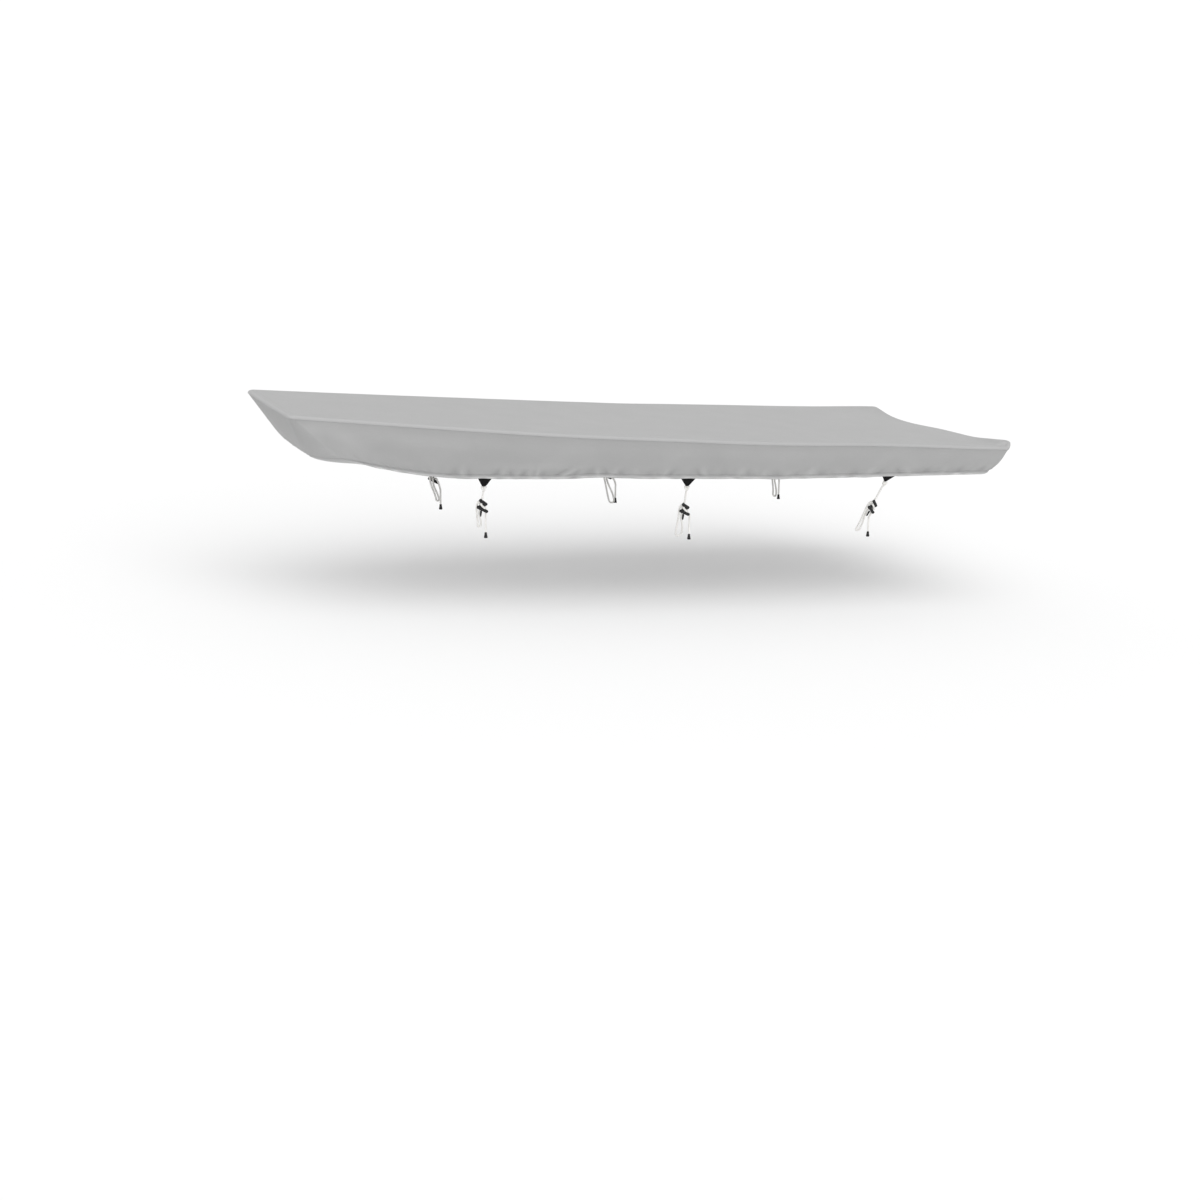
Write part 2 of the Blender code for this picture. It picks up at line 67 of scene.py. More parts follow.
# ==== cover: the top
# One panel of grey woven polyester, pulled tight over the boat and rolled over the rail round its rim. It
# ends a finger's width down the side, where it is lapped over the skirt and sewn.
BOW_X, STERN_X = -2.135, 2.165
CLOTH = 0.0025  # with the coating behind the weave
TOP_SAG = 0.012
BOW_RISE = 0.073
SHEER_START = 0.30
SHEER_POWER = 1.25
ROLL_RADIUS = 0.016
BOW_DROP, STERN_DROP = 0.2545, 0.1755
BOW_CORNERS = (0.028, 0.165)  # radii in plan, at the rim and at the hem
STERN_CORNERS = (0.020, 0.085)
END_REACH = 1.2
GIRTH = 11  # about once round the rim
ROLL_RINGS = 9
LAP_DEPTH = 0.0200  # the lap's edge below the rim
LAP_PROUD = 0.0014
LAP_ROWS = ((0.35, 0.6), (0.8, 1.0), (1.0, 0.9))  # shares of the lap's width and of how proud it stands
LAP_WANDER = 0.0014
PINCHES = (0.0012, 0.018, 0.012)  # height, place down the roll from its top, reach
SEAM_GROOVE = (0.0007, 0.024, 0.005)  # depth, place in from the rim, reach
WAVES_FADE = 0.05  # the top's waves and pulls die away over this distance inside the rim
ROLL_PAINTED_HIGHLIGHT = (0.05, 0.013, 0.007)  # painted highlight along the roll: how much paler, place down the roll, reach
LAP_SHADOW = (-0.06, 0.0262, 0.003)  # painted shadow under the lap's edge: how much darker, where it starts down the roll, reach
GROOVE_PAINTED_SHADE = (-0.035, 0.024, 0.006)  # painted shade in the seam groove: how much darker, place in from the rim, reach
TOP_WAVES = {  # seed, lowest and highest waves a metre, how many sines
    "along": (3, 0.4, 1.6, 5),
    "across": (4, 0.5, 2.0, 5),
    "lap": (7, 1.0, 5.0, 9),
    "pinches": (8, 0.8, 4.0, 9),
    "shadow": (9, 2, 7, 9),
}
STATIONS = (  # x, half width at the rim, skirt drop
    (-2.14, 0.409, 0.2445),
    (-1.71, 0.460, 0.2655),
    (-1.28, 0.512, 0.2925),
    (-0.86, 0.562, 0.2715),
    (-0.43, 0.606, 0.2455),
    (0.00, 0.643, 0.2255),
    (0.43, 0.668, 0.2125),
    (0.86, 0.683, 0.2065),
    (1.28, 0.689, 0.1975),
    (1.71, 0.692, 0.1845),
    (2.14, 0.695, 0.1735),
)
LEANS = (  # share of the drop, then the lean inwards of the side, bow and stern in degrees
    (0.00, 34, 35, 4),
    (0.10, 24, 35, 2),
    (0.25, 16, 35, 2),
    (0.50, 24, 35, 4),
    (0.72, 23, 35, 20),
    (0.86, 15, 48, 48),
    (0.94, 15, 64, 48),
    (1.00, 15, 70, 46),
)
HEM_LIFTS = (  # x, side, lift, half width
    (-1.75, -1, 0.012, 0.13),
    (-0.42, -1, 0.007, 0.12),
    (0.62, -1, -0.004, 0.15),
    (-1.20, 1, -0.005, 0.15),
    (0.35, 1, 0.008, 0.14),
    (1.50, 1, 0.004, 0.12),
)
RISES = (  # x, y, rise, reach in x, reach in y: peaks by the stern corners and the sag between them
    (STERN_X, -0.66, 0.029, 0.06, 0.20),
    (STERN_X, 0.70, 0.010, 0.08, 0.14),
    (STERN_X, 0.34, -0.026, 0.30, 0.36),
)
RISE_FADE = 0.030  # the rises die away over this distance inside the sides' rims
RAIL_RISES = (  # along the rims aft of the middle, in the same columns
    (0.05, -0.68, 0.0135, 0.62, 0.16),
    (1.22, -0.70, 0.0145, 0.62, 0.16),
    (2.12, 0.69, 0.0100, 0.36, 0.12),
)
STERN_EAR = (STERN_X, -0.65, 0.046, 0.09, 0.042)  # the cloth's peak past the stern rim, in the same columns
TOP_STEPS = (306, 86, 8)  # columns along a side, across an end, round a corner
TOP_PULLS = (  # x, y, heading in degrees, half width, half length, height: pulls in the cloth
    (2.02, -0.56, 128, 0.016, 0.22, 0.0016),
    (1.93, -0.60, 148, 0.020, 0.26, -0.0014),
    (1.72, -0.62, 168, 0.022, 0.34, 0.0012),
    (2.06, -0.40, 104, 0.014, 0.16, -0.0012),
    (2.05, 0.58, -128, 0.018, 0.20, 0.0014),
    (1.90, 0.62, -160, 0.022, 0.30, -0.0012),
    (-2.00, -0.34, 40, 0.016, 0.20, 0.0012),
    (-1.92, -0.38, 18, 0.020, 0.26, -0.0012),
    (-2.02, 0.33, -42, 0.016, 0.18, 0.0012),
    (-1.10, -0.50, 4, 0.030, 0.50, 0.0010),
    (0.10, -0.60, 1, 0.034, 0.60, -0.0010),
    (1.05, -0.63, -1, 0.030, 0.55, 0.0010),
    (0.55, 0.50, 3, 0.040, 0.60, 0.0012),
    (-0.70, 0.40, -6, 0.040, 0.55, -0.0010),
)
CLOTH_GREY = (0.385, 0.385, 0.385)
WEAVE = 0.0013  # between threads
STITCH = 0.0045  # one stitch along the seam
TOP_SEAMS = ((-0.0265, 0.0007), (0.0215, 0.0007), (0.0265, 0.0007))  # place in from the rim, half width
SHEET = 0.0018  # the cloth's own thickness


class Wire:
    """A socket in a material. +, -, * and / on wires and numbers add Math nodes."""

    def __init__(self, tree, socket=None):
        self.tree = tree
        self.socket = socket

    def node(self, kind, settings=None, inputs=None, output=0):
        """Adds a node with its settings, a ramp's stops being (place, grey) pairs, and fills its inputs."""
        made = self.tree.nodes.new(kind)
        settings = dict(settings or {})
        stops = settings.pop("stops", ())
        for key, value in settings.items():
            setattr(made, key, value)
        while len(made.color_ramp.elements if stops else ()) < len(stops):
            made.color_ramp.elements.new(1.0)
        for element, (place, grey) in zip(made.color_ramp.elements if stops else (), stops):
            element.position = place
            element.color = (grey, grey, grey, 1)
        for key, value in (inputs or {}).items():
            if isinstance(value, Wire):
                self.tree.links.new(value.socket, made.inputs[key])
            else:
                made.inputs[key].default_value = value
        return Wire(self.tree, made.outputs[output])

    def math(self, operation, *others):
        """A Math node on this wire and others."""
        return self.node("ShaderNodeMath", {"operation": operation}, dict(enumerate((self, *others))))

    def mix(self, low, high, **settings):
        """The colour between two, by this wire."""
        colours = {0: self, 6: (*low, 1), 7: (*high, 1)}
        return self.node("ShaderNodeMix", {"data_type": "RGBA", **settings}, colours, output=2)

    def noise(self, scale, detail, flat=False, **more):
        """Noise over the place that this wire gives, or over its first two parts where flat."""
        settings = {"noise_dimensions": "2D"} if flat else {}
        inputs = {"Vector": self, "Scale": scale, "Detail": detail, **more}
        return self.node("ShaderNodeTexNoise", settings, inputs)

    def bump(self, strength, distance):
        """The normal that this wire's height gives."""
        inputs = {"Strength": strength, "Distance": distance, "Height": self}
        return self.node("ShaderNodeBump", inputs=inputs)

    def to(self, shader, key):
        """Links this wire to a shader's input."""
        self.tree.links.new(self.socket, shader.inputs[key])

    def __add__(self, other):
        return self.math("ADD", other)

    def __sub__(self, other):
        return self.math("SUBTRACT", other)

    def __rsub__(self, other):
        return (self * -1.0) + other

    def __mul__(self, other):
        return self.math("MULTIPLY", other)

    def __truediv__(self, other):
        return self.math("DIVIDE", other)

    __radd__ = __add__
    __rmul__ = __mul__


def finish(name, colour, roughness, sheen=0.0, specular=0.5):
    """A material whose shader holds these constants. Returns it, its shader and a Wire to start from."""
    made = bpy.data.materials.new(name)
    made.use_nodes = True
    shader = made.node_tree.nodes["Principled BSDF"]
    shader.inputs["Base Color"].default_value = (*colour, 1)
    shader.inputs["Roughness"].default_value = roughness
    shader.inputs["Sheen Weight"].default_value = sheen
    shader.inputs["Specular IOR Level"].default_value = specular
    return made, shader, Wire(made.node_tree)


def own_map(start):
    """The wire of a piece's own UV map, and the wires of its two parts."""
    uv = start.node("ShaderNodeTexCoord", output=2)
    u = uv.node("ShaderNodeSeparateXYZ", inputs={0: uv})
    return uv, u, Wire(u.tree, u.socket.node.outputs[1])


def through(rows, column, at):
    """A smooth curve through a table's column: Hermite cubics whose end slopes are the column's gradient."""
    table = np.array(rows, float)
    x, y = table[:, 0], table[:, column]
    slope = np.gradient(y, x)
    i = np.clip(np.searchsorted(x, at) - 1, 0, len(x) - 2)
    step = x[i + 1] - x[i]
    t = np.clip((at - x[i]) / step, 0, 1)
    rest = 1 - t
    ends = y[i] * rest**2 * (1 + 2 * t) + y[i + 1] * t**2 * (1 + 2 * rest)
    return ends + step * t * rest * (slope[i] * rest - slope[i + 1] * t)


def hump(at, place, reach):
    """A Gaussian of height 1 about a place."""
    return np.exp(-(((at - place) / reach) ** 2))


def humps(rows, x, y):
    """The sum of a table's rises, each a Gaussian in x times one in y."""
    return sum(h * np.exp(-(((x - at) / rx) ** 2) - ((y - ay) / ry) ** 2) for at, ay, h, rx, ry in rows)


def rises(x, y):
    """The rises, faded in from the sides' rims by a smoothstep, and the rims' own."""
    inside = np.clip((through(STATIONS, 1, x) - np.abs(y)) / RISE_FADE, 0, 1)
    return humps(RISES, x, y) * inside**2 * (3 - 2 * inside) + humps(RAIL_RISES, x, y)


def ear(x, y):
    """How far the cloth stands aft of the rim at its peak by the port stern corner: a Gaussian in x and y."""
    return humps([STERN_EAR], x, y)


def top_height(x, y):
    """The top's outer face: a power curve for the sheer, a sag that is a parabola across times a root along,
    and the rises."""
    run = np.clip(SHEER_START - x, 0, None) / (SHEER_START - BOW_X)
    level = (SHEER_START / (SHEER_START - BOW_X)) ** SHEER_POWER
    across = np.clip(1 - (y / through(STATIONS, 1, x)) ** 2, 0, 1)
    along = np.clip(1 - (x / STERN_X) ** 2, 0, 1)
    sag = TOP_SAG * (1 - across * along**0.5)
    return CLOTH + BOW_RISE * (run**SHEER_POWER - level) + sag + rises(x, y)


def inset(column, share, drop):
    """How far the skirt has come in at a share of its drop: the integral of the tangent of its lean."""
    fine = np.linspace(0, 1, 401)
    slope = np.tan(np.radians(np.interp(fine, [row[0] for row in LEANS], [row[column] for row in LEANS])))
    total = np.concatenate([[0], np.cumsum((slope[1:] + slope[:-1]) / 2 * np.diff(fine))])
    return np.interp(share, fine, total) * drop


def rim_columns(port_steps, starboard_steps, end_steps, corner_steps):
    """Columns round the rim, as arrays: share of the side's length from the bow, turn round the corner,
    place across the end, and side. They start at the bow's port corner and go aft."""
    def side(steps):
        return [(f, 0.0, 1.0) for f in np.linspace(0, 1, steps + 1)]

    corner = [(1.0, math.pi / 2 * k / corner_steps, 1.0) for k in range(1, corner_steps)]
    end = [(1.0, math.pi / 2, e) for e in np.linspace(1, -1, end_steps + 1)]
    rows = [(share, turn, across, -1) for share, turn, across in side(port_steps) + corner + end]
    rows += [(1.0, turn, 1.0, 1) for _, turn, _ in reversed(corner)]
    rows += [(1 - share, 0.0, 1.0, 1) for share, _, _ in side(starboard_steps)]
    rows += [(0.0, turn, 1.0, 1) for _, turn, _ in corner]
    rows += [(0.0, math.pi / 2, -across, -1) for _, _, across in end]
    rows += [(0.0, turn, 1.0, -1) for _, turn, _ in reversed(corner)]
    return np.array(rows, float).T


def outline(columns, insets, part):
    """The rim's outline in plan, drawn in by the side, bow and stern insets: the half width along the sides,
    quarter circles at the corners and straight ends. An end's inset also draws the side along, less and less
    over the end's reach."""
    share, turn, across, side = columns
    side_in, bow_in, stern_in = insets
    bow_radius = BOW_CORNERS[0] + part * (BOW_CORNERS[1] - BOW_CORNERS[0])
    stern_radius = STERN_CORNERS[0] + part * (STERN_CORNERS[1] - STERN_CORNERS[0])
    start, stop = BOW_X + bow_radius, STERN_X - stern_radius
    along = start + share * (stop - start)
    bow_pull = np.clip(1 - (along - start) / END_REACH, 0, 1) ** 2
    stern_pull = np.clip(1 - (stop - along) / END_REACH, 0, 1) ** 2
    along = along + bow_in * bow_pull - stern_in * stern_pull
    aft = share > 0.5
    radius = np.where(aft, stern_radius, bow_radius)
    end_x = np.where(aft, STERN_X - stern_in, BOW_X + bow_in)
    x = np.where(turn > 0, end_x - np.where(aft, 1, -1) * radius * (1 - np.sin(turn)), along)
    y = through(STATIONS, 1, x) - side_in - radius * (1 - np.cos(turn))
    return x, side * y * across


def fall(columns):
    """The skirt's drop below the roll for each column: the stations' along the sides, less the hem's lifts,
    and the ends' own, mixed round the corners by the square of the turn's sine."""
    share, turn, _, side = columns
    rim_x, rim_y = outline(columns, (0, 0, 0), 0.0)
    hem_x, _ = outline(columns, (0.0, inset(2, 1.0, BOW_DROP), inset(3, 1.0, STERN_DROP)), 1.0)
    lift = sum(h * hump(hem_x, x, w) * (side == s) for x, s, h, w in HEM_LIFTS)
    mix = np.sin(turn) ** 2
    at_end = np.where(share > 0.5, STERN_DROP, BOW_DROP)
    drop = (through(STATIONS, 2, hem_x) - lift) * (1 - mix) + at_end * mix
    return drop + rises(rim_x, rim_y) - ROLL_RADIUS


def side_face(columns, part, proud):
    """The skirt's outer face at shares of its fall: the outline drawn in by the summed lean, stood proud, and
    lowered. The port stern corner stands out in an ear that dies away down to the hem."""
    rim_x, rim_y = outline(columns, (0, 0, 0), 0.0)
    drop = fall(columns)
    insets = (
        inset(1, part, drop) - proud,
        inset(2, part, BOW_DROP - ROLL_RADIUS) - proud,
        inset(3, part, STERN_DROP - ROLL_RADIUS) - proud,
    )
    x, y = outline(columns, insets, np.clip(part, 0, 1))
    x = x + ear(rim_x, rim_y) * (1 - np.clip(part, 0, 1) ** 4)
    z = top_height(rim_x, rim_y) - ROLL_RADIUS - part * drop
    return np.stack(np.broadcast_arrays(x, y, z), axis=-1)


def unit(ways):
    """An array of vectors, each made one long."""
    return ways / np.linalg.norm(ways, axis=-1, keepdims=True)


def outward(points):
    """Normals of a grid that is closed round its columns: its step down crossed with its step round."""
    down = np.gradient(points, axis=0)
    round_rim = np.roll(points, -1, axis=1) - np.roll(points, 1, axis=1)
    return unit(np.cross(down, round_rim))


def quads(number):
    """The faces between a grid's points, from the points' numbers."""
    corners = [number[:-1, :-1], number[1:, :-1], number[1:, 1:], number[:-1, 1:]]
    return np.stack(corners, -1).reshape(-1, 4)


def grid_faces(shape, closed=(0, 1), first=0):
    """The faces of a grid, turned outwards. A 1 says that its rows, or its columns, close in a ring."""
    number = first + np.arange(shape[0] * shape[1]).reshape(shape)
    return quads(np.pad(number, [(0, closed[0]), (0, closed[1])], mode="wrap"))


def piece(name, points, faces, material, uv=None, values=None):
    """A smooth mesh object at the origin that rides on the part, with a UV and named values of its points."""
    mesh = bpy.data.meshes.new(name)
    mesh.from_pydata(points.reshape(-1, 3).tolist(), [], faces.tolist())
    if uv is not None:
        mesh.uv_layers.new(name="cloth").data.foreach_set("uv", uv[faces].astype(np.float32).ravel())
    for key, value in (values or {}).items():
        attribute = mesh.attributes.new(key, "FLOAT", "POINT")
        attribute.data.foreach_set("value", value.astype(np.float32).ravel())
    mesh.shade_smooth()
    mesh.materials.append(material)
    made = bpy.data.objects.new(name, mesh)
    bpy.context.collection.objects.link(made)
    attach(made, "root")
    return made


def thicken(made, thickness, offset=-1):
    """Gives a sheet its thickness: inwards from its face, or about its middle where the offset is 0."""
    solid = made.modifiers.new("thickness", "SOLIDIFY")
    solid.thickness = thickness
    solid.offset = offset


def uneven(at, seed, low, high, count):
    """An uneven line between about -1 and 1: sines whose frequencies, weights and phases are seeded."""
    draw = np.random.default_rng(seed)
    rates, phases = draw.uniform(low, high, count), draw.uniform(0, 2 * math.pi, count)
    weights = draw.uniform(0.4, 1, count)
    waves = np.sin(np.asarray(at)[..., None] * rates * 2 * math.pi + phases) * weights
    return waves.sum(-1) / weights.sum() * 1.8


def top_relief(x, y):
    """Height to add to the top: each pull is a Gaussian ridge turned to its heading, and slow uneven waves
    fill the rest."""
    total = 0.0006 * uneven(x * 0.9 + y * 0.5, *TOP_WAVES["along"])
    total += 0.0005 * uneven(y * 1.4 - x * 0.2, *TOP_WAVES["across"])
    for at_x, at_y, heading, half_width, half_length, height in TOP_PULLS:
        c, s = math.cos(math.radians(heading)), math.sin(math.radians(heading))
        along, across = (x - at_x) * c + (y - at_y) * s, (y - at_y) * c - (x - at_x) * s
        total = total + height * np.exp(-((across / half_width) ** 2) - (along / half_length) ** 2)
    return total


def make_top():
    """The rings of the roll and the lap, and inside them the blend of the four edge curves, a Coons patch."""
    side_steps, end_steps, corner_steps = TOP_STEPS
    columns = rim_columns(side_steps, side_steps, end_steps, corner_steps)
    drop = fall(columns)
    count = len(drop)
    rings, reach = [], []
    for turned in np.radians(np.linspace(0, 90, ROLL_RINGS)):
        x, y = outline(columns, (ROLL_RADIUS * (1 - math.sin(turned)),) * 3, 0.0)
        rim_x, rim_y = outline(columns, (0, 0, 0), 0.0)
        z = top_height(rim_x, rim_y) - ROLL_RADIUS * (1 - math.cos(turned))
        rings.append(np.stack([x + ear(rim_x, rim_y), y, z], -1))
        reach.append(ROLL_RADIUS * turned)
    round_rim = np.arange(count) / count * GIRTH
    uneven_lap = LAP_DEPTH + LAP_WANDER * uneven(round_rim, *TOP_WAVES["lap"])
    for share, proud in LAP_ROWS:
        rings.append(side_face(columns, (uneven_lap - ROLL_RADIUS) * share / drop, LAP_PROUD * proud))
        reach.append(ROLL_RADIUS * math.pi / 2 + (LAP_DEPTH - ROLL_RADIUS) * share)
    rings, reach = np.array(rings), np.array(reach)
    height, place, width = PINCHES
    pinch = height * uneven(round_rim, *TOP_WAVES["pinches"])
    rings = rings + outward(rings) * (pinch[None] * hump(reach, place, width)[:, None])[..., None]
    away = unit(rings[ROLL_RINGS - 1, :, :2] - rings[0, :, :2])
    ring_uv = rings[0, None, :, :2] + reach[:, None, None] * away[None]
    half = corner_steps // 2
    nx, ny = side_steps + 2 * half, end_steps + 2 * half
    index = np.roll(np.arange(count), half)
    port, stern = index[: nx + 1], index[nx : nx + ny + 1]
    starboard, bow = index[nx + ny : 2 * nx + ny + 1][::-1], np.append(index[2 * nx + ny :], index[0])[::-1]
    a, b, c, d = rings[0][port], rings[0][starboard], rings[0][bow], rings[0][stern]
    u, v = np.linspace(0, 1, nx + 1)[:, None, None], np.linspace(0, 1, ny + 1)[None, :, None]
    patch = (1 - v) * a[:, None] + v * b[:, None] + (1 - u) * c[None] + u * d[None]
    patch -= (1 - u) * (1 - v) * a[0] + (1 - u) * v * b[0] + u * (1 - v) * a[-1] + u * v * b[-1]
    number = np.full((nx + 1, ny + 1), -1)
    number[:, 0], number[:, -1], number[0, :], number[-1, :] = port, starboard, bow, stern
    inner = number < 0
    number[inner] = len(rings) * count + np.arange(inner.sum())
    plan = patch[inner]
    to_end = np.minimum(plan[:, 0] - BOW_X, STERN_X - plan[:, 0])
    edge = np.minimum(through(STATIONS, 1, plan[:, 0]) - np.abs(plan[:, 1]), to_end) - ROLL_RADIUS
    plan[:, 2] = top_height(plan[:, 0], plan[:, 1])
    plan[:, 2] -= SEAM_GROOVE[0] * hump(edge, *SEAM_GROOVE[1:])
    plan[:, 2] += top_relief(plan[:, 0], plan[:, 1]) * np.clip(edge / WAVES_FADE, 0, 1)
    points = np.concatenate([rings.reshape(-1, 3), plan])
    uv = np.concatenate([ring_uv.reshape(-1, 2), plan[:, :2]])
    highlight_toward_bow = np.clip(0.9 - rings[0, :, 0] / 2, 0.3, 1.5)  # the roll's painted highlight is strongest by the bow
    # Painted highlight along the roll, paler towards the bow.
    painted_roll_highlight = ROLL_PAINTED_HIGHLIGHT[0] * hump(reach, *ROLL_PAINTED_HIGHLIGHT[1:])[:, None] * highlight_toward_bow
    # Painted shadow below the lap's edge, uneven along the rim.
    darker, place, width = LAP_SHADOW
    painted_lap_shadow = darker * np.clip((reach[:, None] - place) / width, 0, 1)
    painted_lap_shadow = painted_lap_shadow * (1 + uneven(round_rim, *TOP_WAVES["shadow"]))
    # Painted shade in the seam groove inside the rim.
    inside = GROOVE_PAINTED_SHADE[0] * hump(edge, *GROOVE_PAINTED_SHADE[1:])
    values = {
        "edge": np.concatenate([np.repeat(-reach, count), edge]),
        "shade": np.concatenate([(painted_roll_highlight + painted_lap_shadow).ravel(), inside]),
    }
    faces = np.concatenate([grid_faces(rings.shape[:2]), quads(number)])
    return points, faces, uv, values


def cloth_finish(name, seams):
    """Grey woven polyester: an over-and-under weave, slightly uneven dye, and thread in the seams. The edge
    value is metres in from the rim on the top and metres up from the hem on the skirt. The shade value is
    painted light and shade, as a share of the grey: how much paler a painted highlight makes the roll, a
    ridge or the bead, or how much darker painted shade makes a fold, a groove or a seam's line. Each seam is
    a place on the edge value and half its width."""
    made, shader, start = finish(name, CLOTH_GREY, 0.86, 0.08)
    uv, u, v = own_map(start)
    edge = start.node("ShaderNodeAttribute", {"attribute_name": "edge"}, output=2)
    shade = start.node("ShaderNodeAttribute", {"attribute_name": "shade"}, output=2)
    warp, weft = (u * (2 * math.pi / WEAVE)).math("SINE"), (v * (2 * math.pi / WEAVE)).math("SINE")
    weave = warp * weft
    cloud, slub = uv.noise(5.0, 5.0, flat=True, Roughness=0.6), uv.noise(120.0, 2.0, flat=True)
    dash = ((u + v) * (2 * math.pi / STITCH)).math("SINE") * 0.5 + 0.5
    thread = 0.0
    for place, width in seams:
        away = ((edge - place) / width).math("ABSOLUTE")
        thread = (1.0 - away).math("MAXIMUM", 0.0) + thread
    stitches = thread * dash
    # The shade value adds the painted light and shade.
    tone = cloud * 0.06 + slub * 0.06 + weave * 0.02 + 0.94 + shade - stitches * 0.12
    # A tone of 1 is the grey itself: half way from black to twice the grey, and past it where it is paler.
    twice = [2 * part for part in CLOTH_GREY]
    (tone * 0.5).mix((0, 0, 0), twice, clamp_factor=False).to(shader, "Base Color")
    (0.92 - cloud * 0.12).to(shader, "Roughness")
    (weave * 0.35 + slub * 0.4 + stitches * 1.2).bump(0.35, 0.0005).to(shader, "Normal")
    return made


top_points, top_faces, top_uv, top_values = make_top()
top_cloth = cloth_finish("grey_polyester_top", TOP_SEAMS)
cover_top = piece("cover_top", top_points, top_faces, top_cloth, top_uv, top_values)
thicken(cover_top, SHEET)
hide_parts("cover")

# ==== cover: the skirt
# One long strip of the same cloth, sewn under the top's lap and hanging down the flared sides. Its lower edge
# is turned up round a draw rope and stitched, and the rope gathers it into puckers that die out up the skirt.
SKIRT_STEPS = (560, 380, 100, 14)  # columns along the port and starboard sides, across an end, round a corner
HEM_TOP = 0.036
HEM_BEAD = (  # height above the hem's edge, how far the face stands proud
    (0.000, 0.0008),
    (0.003, 0.0036),
    (0.0075, 0.0052),
    (0.012, 0.0044),
    (0.0155, 0.0016),
    (0.0185, -0.0020),
    (0.0220, -0.0018),
    (0.028, 0.0003),
    (HEM_TOP, 0.0000),
)
ABOVE_HEM = (0.050, 0.043, 0.037, 0.032, 0.028, 0.025, 0.0225, 0.0205, 0.0188, 0.017, 0.0155, 0.0138, 0.012,
             0.0098, 0.0075, 0.005, 0.0025, 0.0)
BELOW_ROLL = (0.0010, 0.0026, 0.0040, 0.0052, 0.0066, 0.0085, 0.012, 0.017, 0.024)
BETWEEN = 11  # rows from the last below the roll to the first above the hem
PUCKERS = (
    # x on the port side, height above the hem, slant (how far the fold moves aft for each metre up), half
    # width, half height, depth
    (-1.237, 0.030, 0.3, 0.030, 0.030, -0.0030),
    (-1.195, 0.034, -0.2, 0.018, 0.028, 0.0022),
    (-1.155, 0.032, -0.4, 0.016, 0.026, -0.0028),
    (-1.010, 0.030, 0.5, 0.020, 0.030, -0.0036),
    (-0.975, 0.036, 0.2, 0.014, 0.026, 0.0024),
    (-0.930, 0.030, -0.3, 0.012, 0.022, -0.0030),
    (-0.893, 0.034, 0.2, 0.013, 0.024, 0.0022),
    (-0.862, 0.030, 0.4, 0.012, 0.022, -0.0026),
    (-0.826, 0.032, 0.0, 0.012, 0.022, 0.0018),
    (-0.786, 0.036, 0.1, 0.010, 0.030, 0.0036),
    (-0.755, 0.030, 0.3, 0.013, 0.024, -0.0028),
    (-0.655, 0.038, 1.6, 0.016, 0.030, -0.0036),
    (-0.612, 0.036, 1.8, 0.014, 0.030, 0.0038),
    (-0.572, 0.030, 0.6, 0.015, 0.024, -0.0030),
    (-0.495, 0.032, 0.2, 0.026, 0.028, -0.0034),
    (-0.450, 0.034, -0.2, 0.014, 0.026, 0.0026),
    (-0.405, 0.030, -0.3, 0.022, 0.026, -0.0032),
    (-0.355, 0.034, 0.4, 0.014, 0.024, 0.0022),
    (-0.316, 0.030, 0.2, 0.020, 0.024, -0.0028),
    (-0.225, 0.036, -0.4, 0.018, 0.024, 0.0016),
    (-0.150, 0.032, 0.3, 0.024, 0.024, -0.0018),
    (-0.060, 0.034, 0.5, 0.014, 0.026, 0.0024),
    (-0.020, 0.030, 0.6, 0.014, 0.026, -0.0028),
    (0.145, 0.032, -0.6, 0.014, 0.026, -0.0028),
    (0.185, 0.036, -0.7, 0.014, 0.026, 0.0024),
    (0.300, 0.032, 0.2, 0.026, 0.024, -0.0018),
    (0.400, 0.036, 0.3, 0.020, 0.024, 0.0018),
    (0.470, 0.030, -0.2, 0.024, 0.022, -0.0020),
    (0.545, 0.034, 0.2, 0.018, 0.024, 0.0026),
    (0.640, 0.030, -0.2, 0.022, 0.022, -0.0020),
    (0.700, 0.034, 0.4, 0.022, 0.024, 0.0028),
    (0.760, 0.030, 0.2, 0.014, 0.022, -0.0026),
    (0.845, 0.034, 0.6, 0.034, 0.026, 0.0026),
    (0.930, 0.030, 0.3, 0.020, 0.022, -0.0022),
    (1.040, 0.034, -0.3, 0.026, 0.024, 0.0018),
    (1.150, 0.030, 0.4, 0.024, 0.022, -0.0022),
    (1.250, 0.036, 0.7, 0.022, 0.026, 0.0026),
    (1.315, 0.030, 0.8, 0.016, 0.024, -0.0028),
    (1.450, 0.032, -0.8, 0.018, 0.024, -0.0026),
    (1.510, 0.036, -0.8, 0.020, 0.026, 0.0026),
    (1.640, 0.030, 0.2, 0.026, 0.022, -0.0020),
    (1.760, 0.034, 0.2, 0.030, 0.024, 0.0020),
    (1.880, 0.030, -0.3, 0.034, 0.022, -0.0018),
    (1.960, 0.034, 0.3, 0.026, 0.024, 0.0014),
    (2.030, 0.030, 0.3, 0.026, 0.024, -0.0016),
    (2.085, 0.036, 0.5, 0.020, 0.028, 0.0018),
)
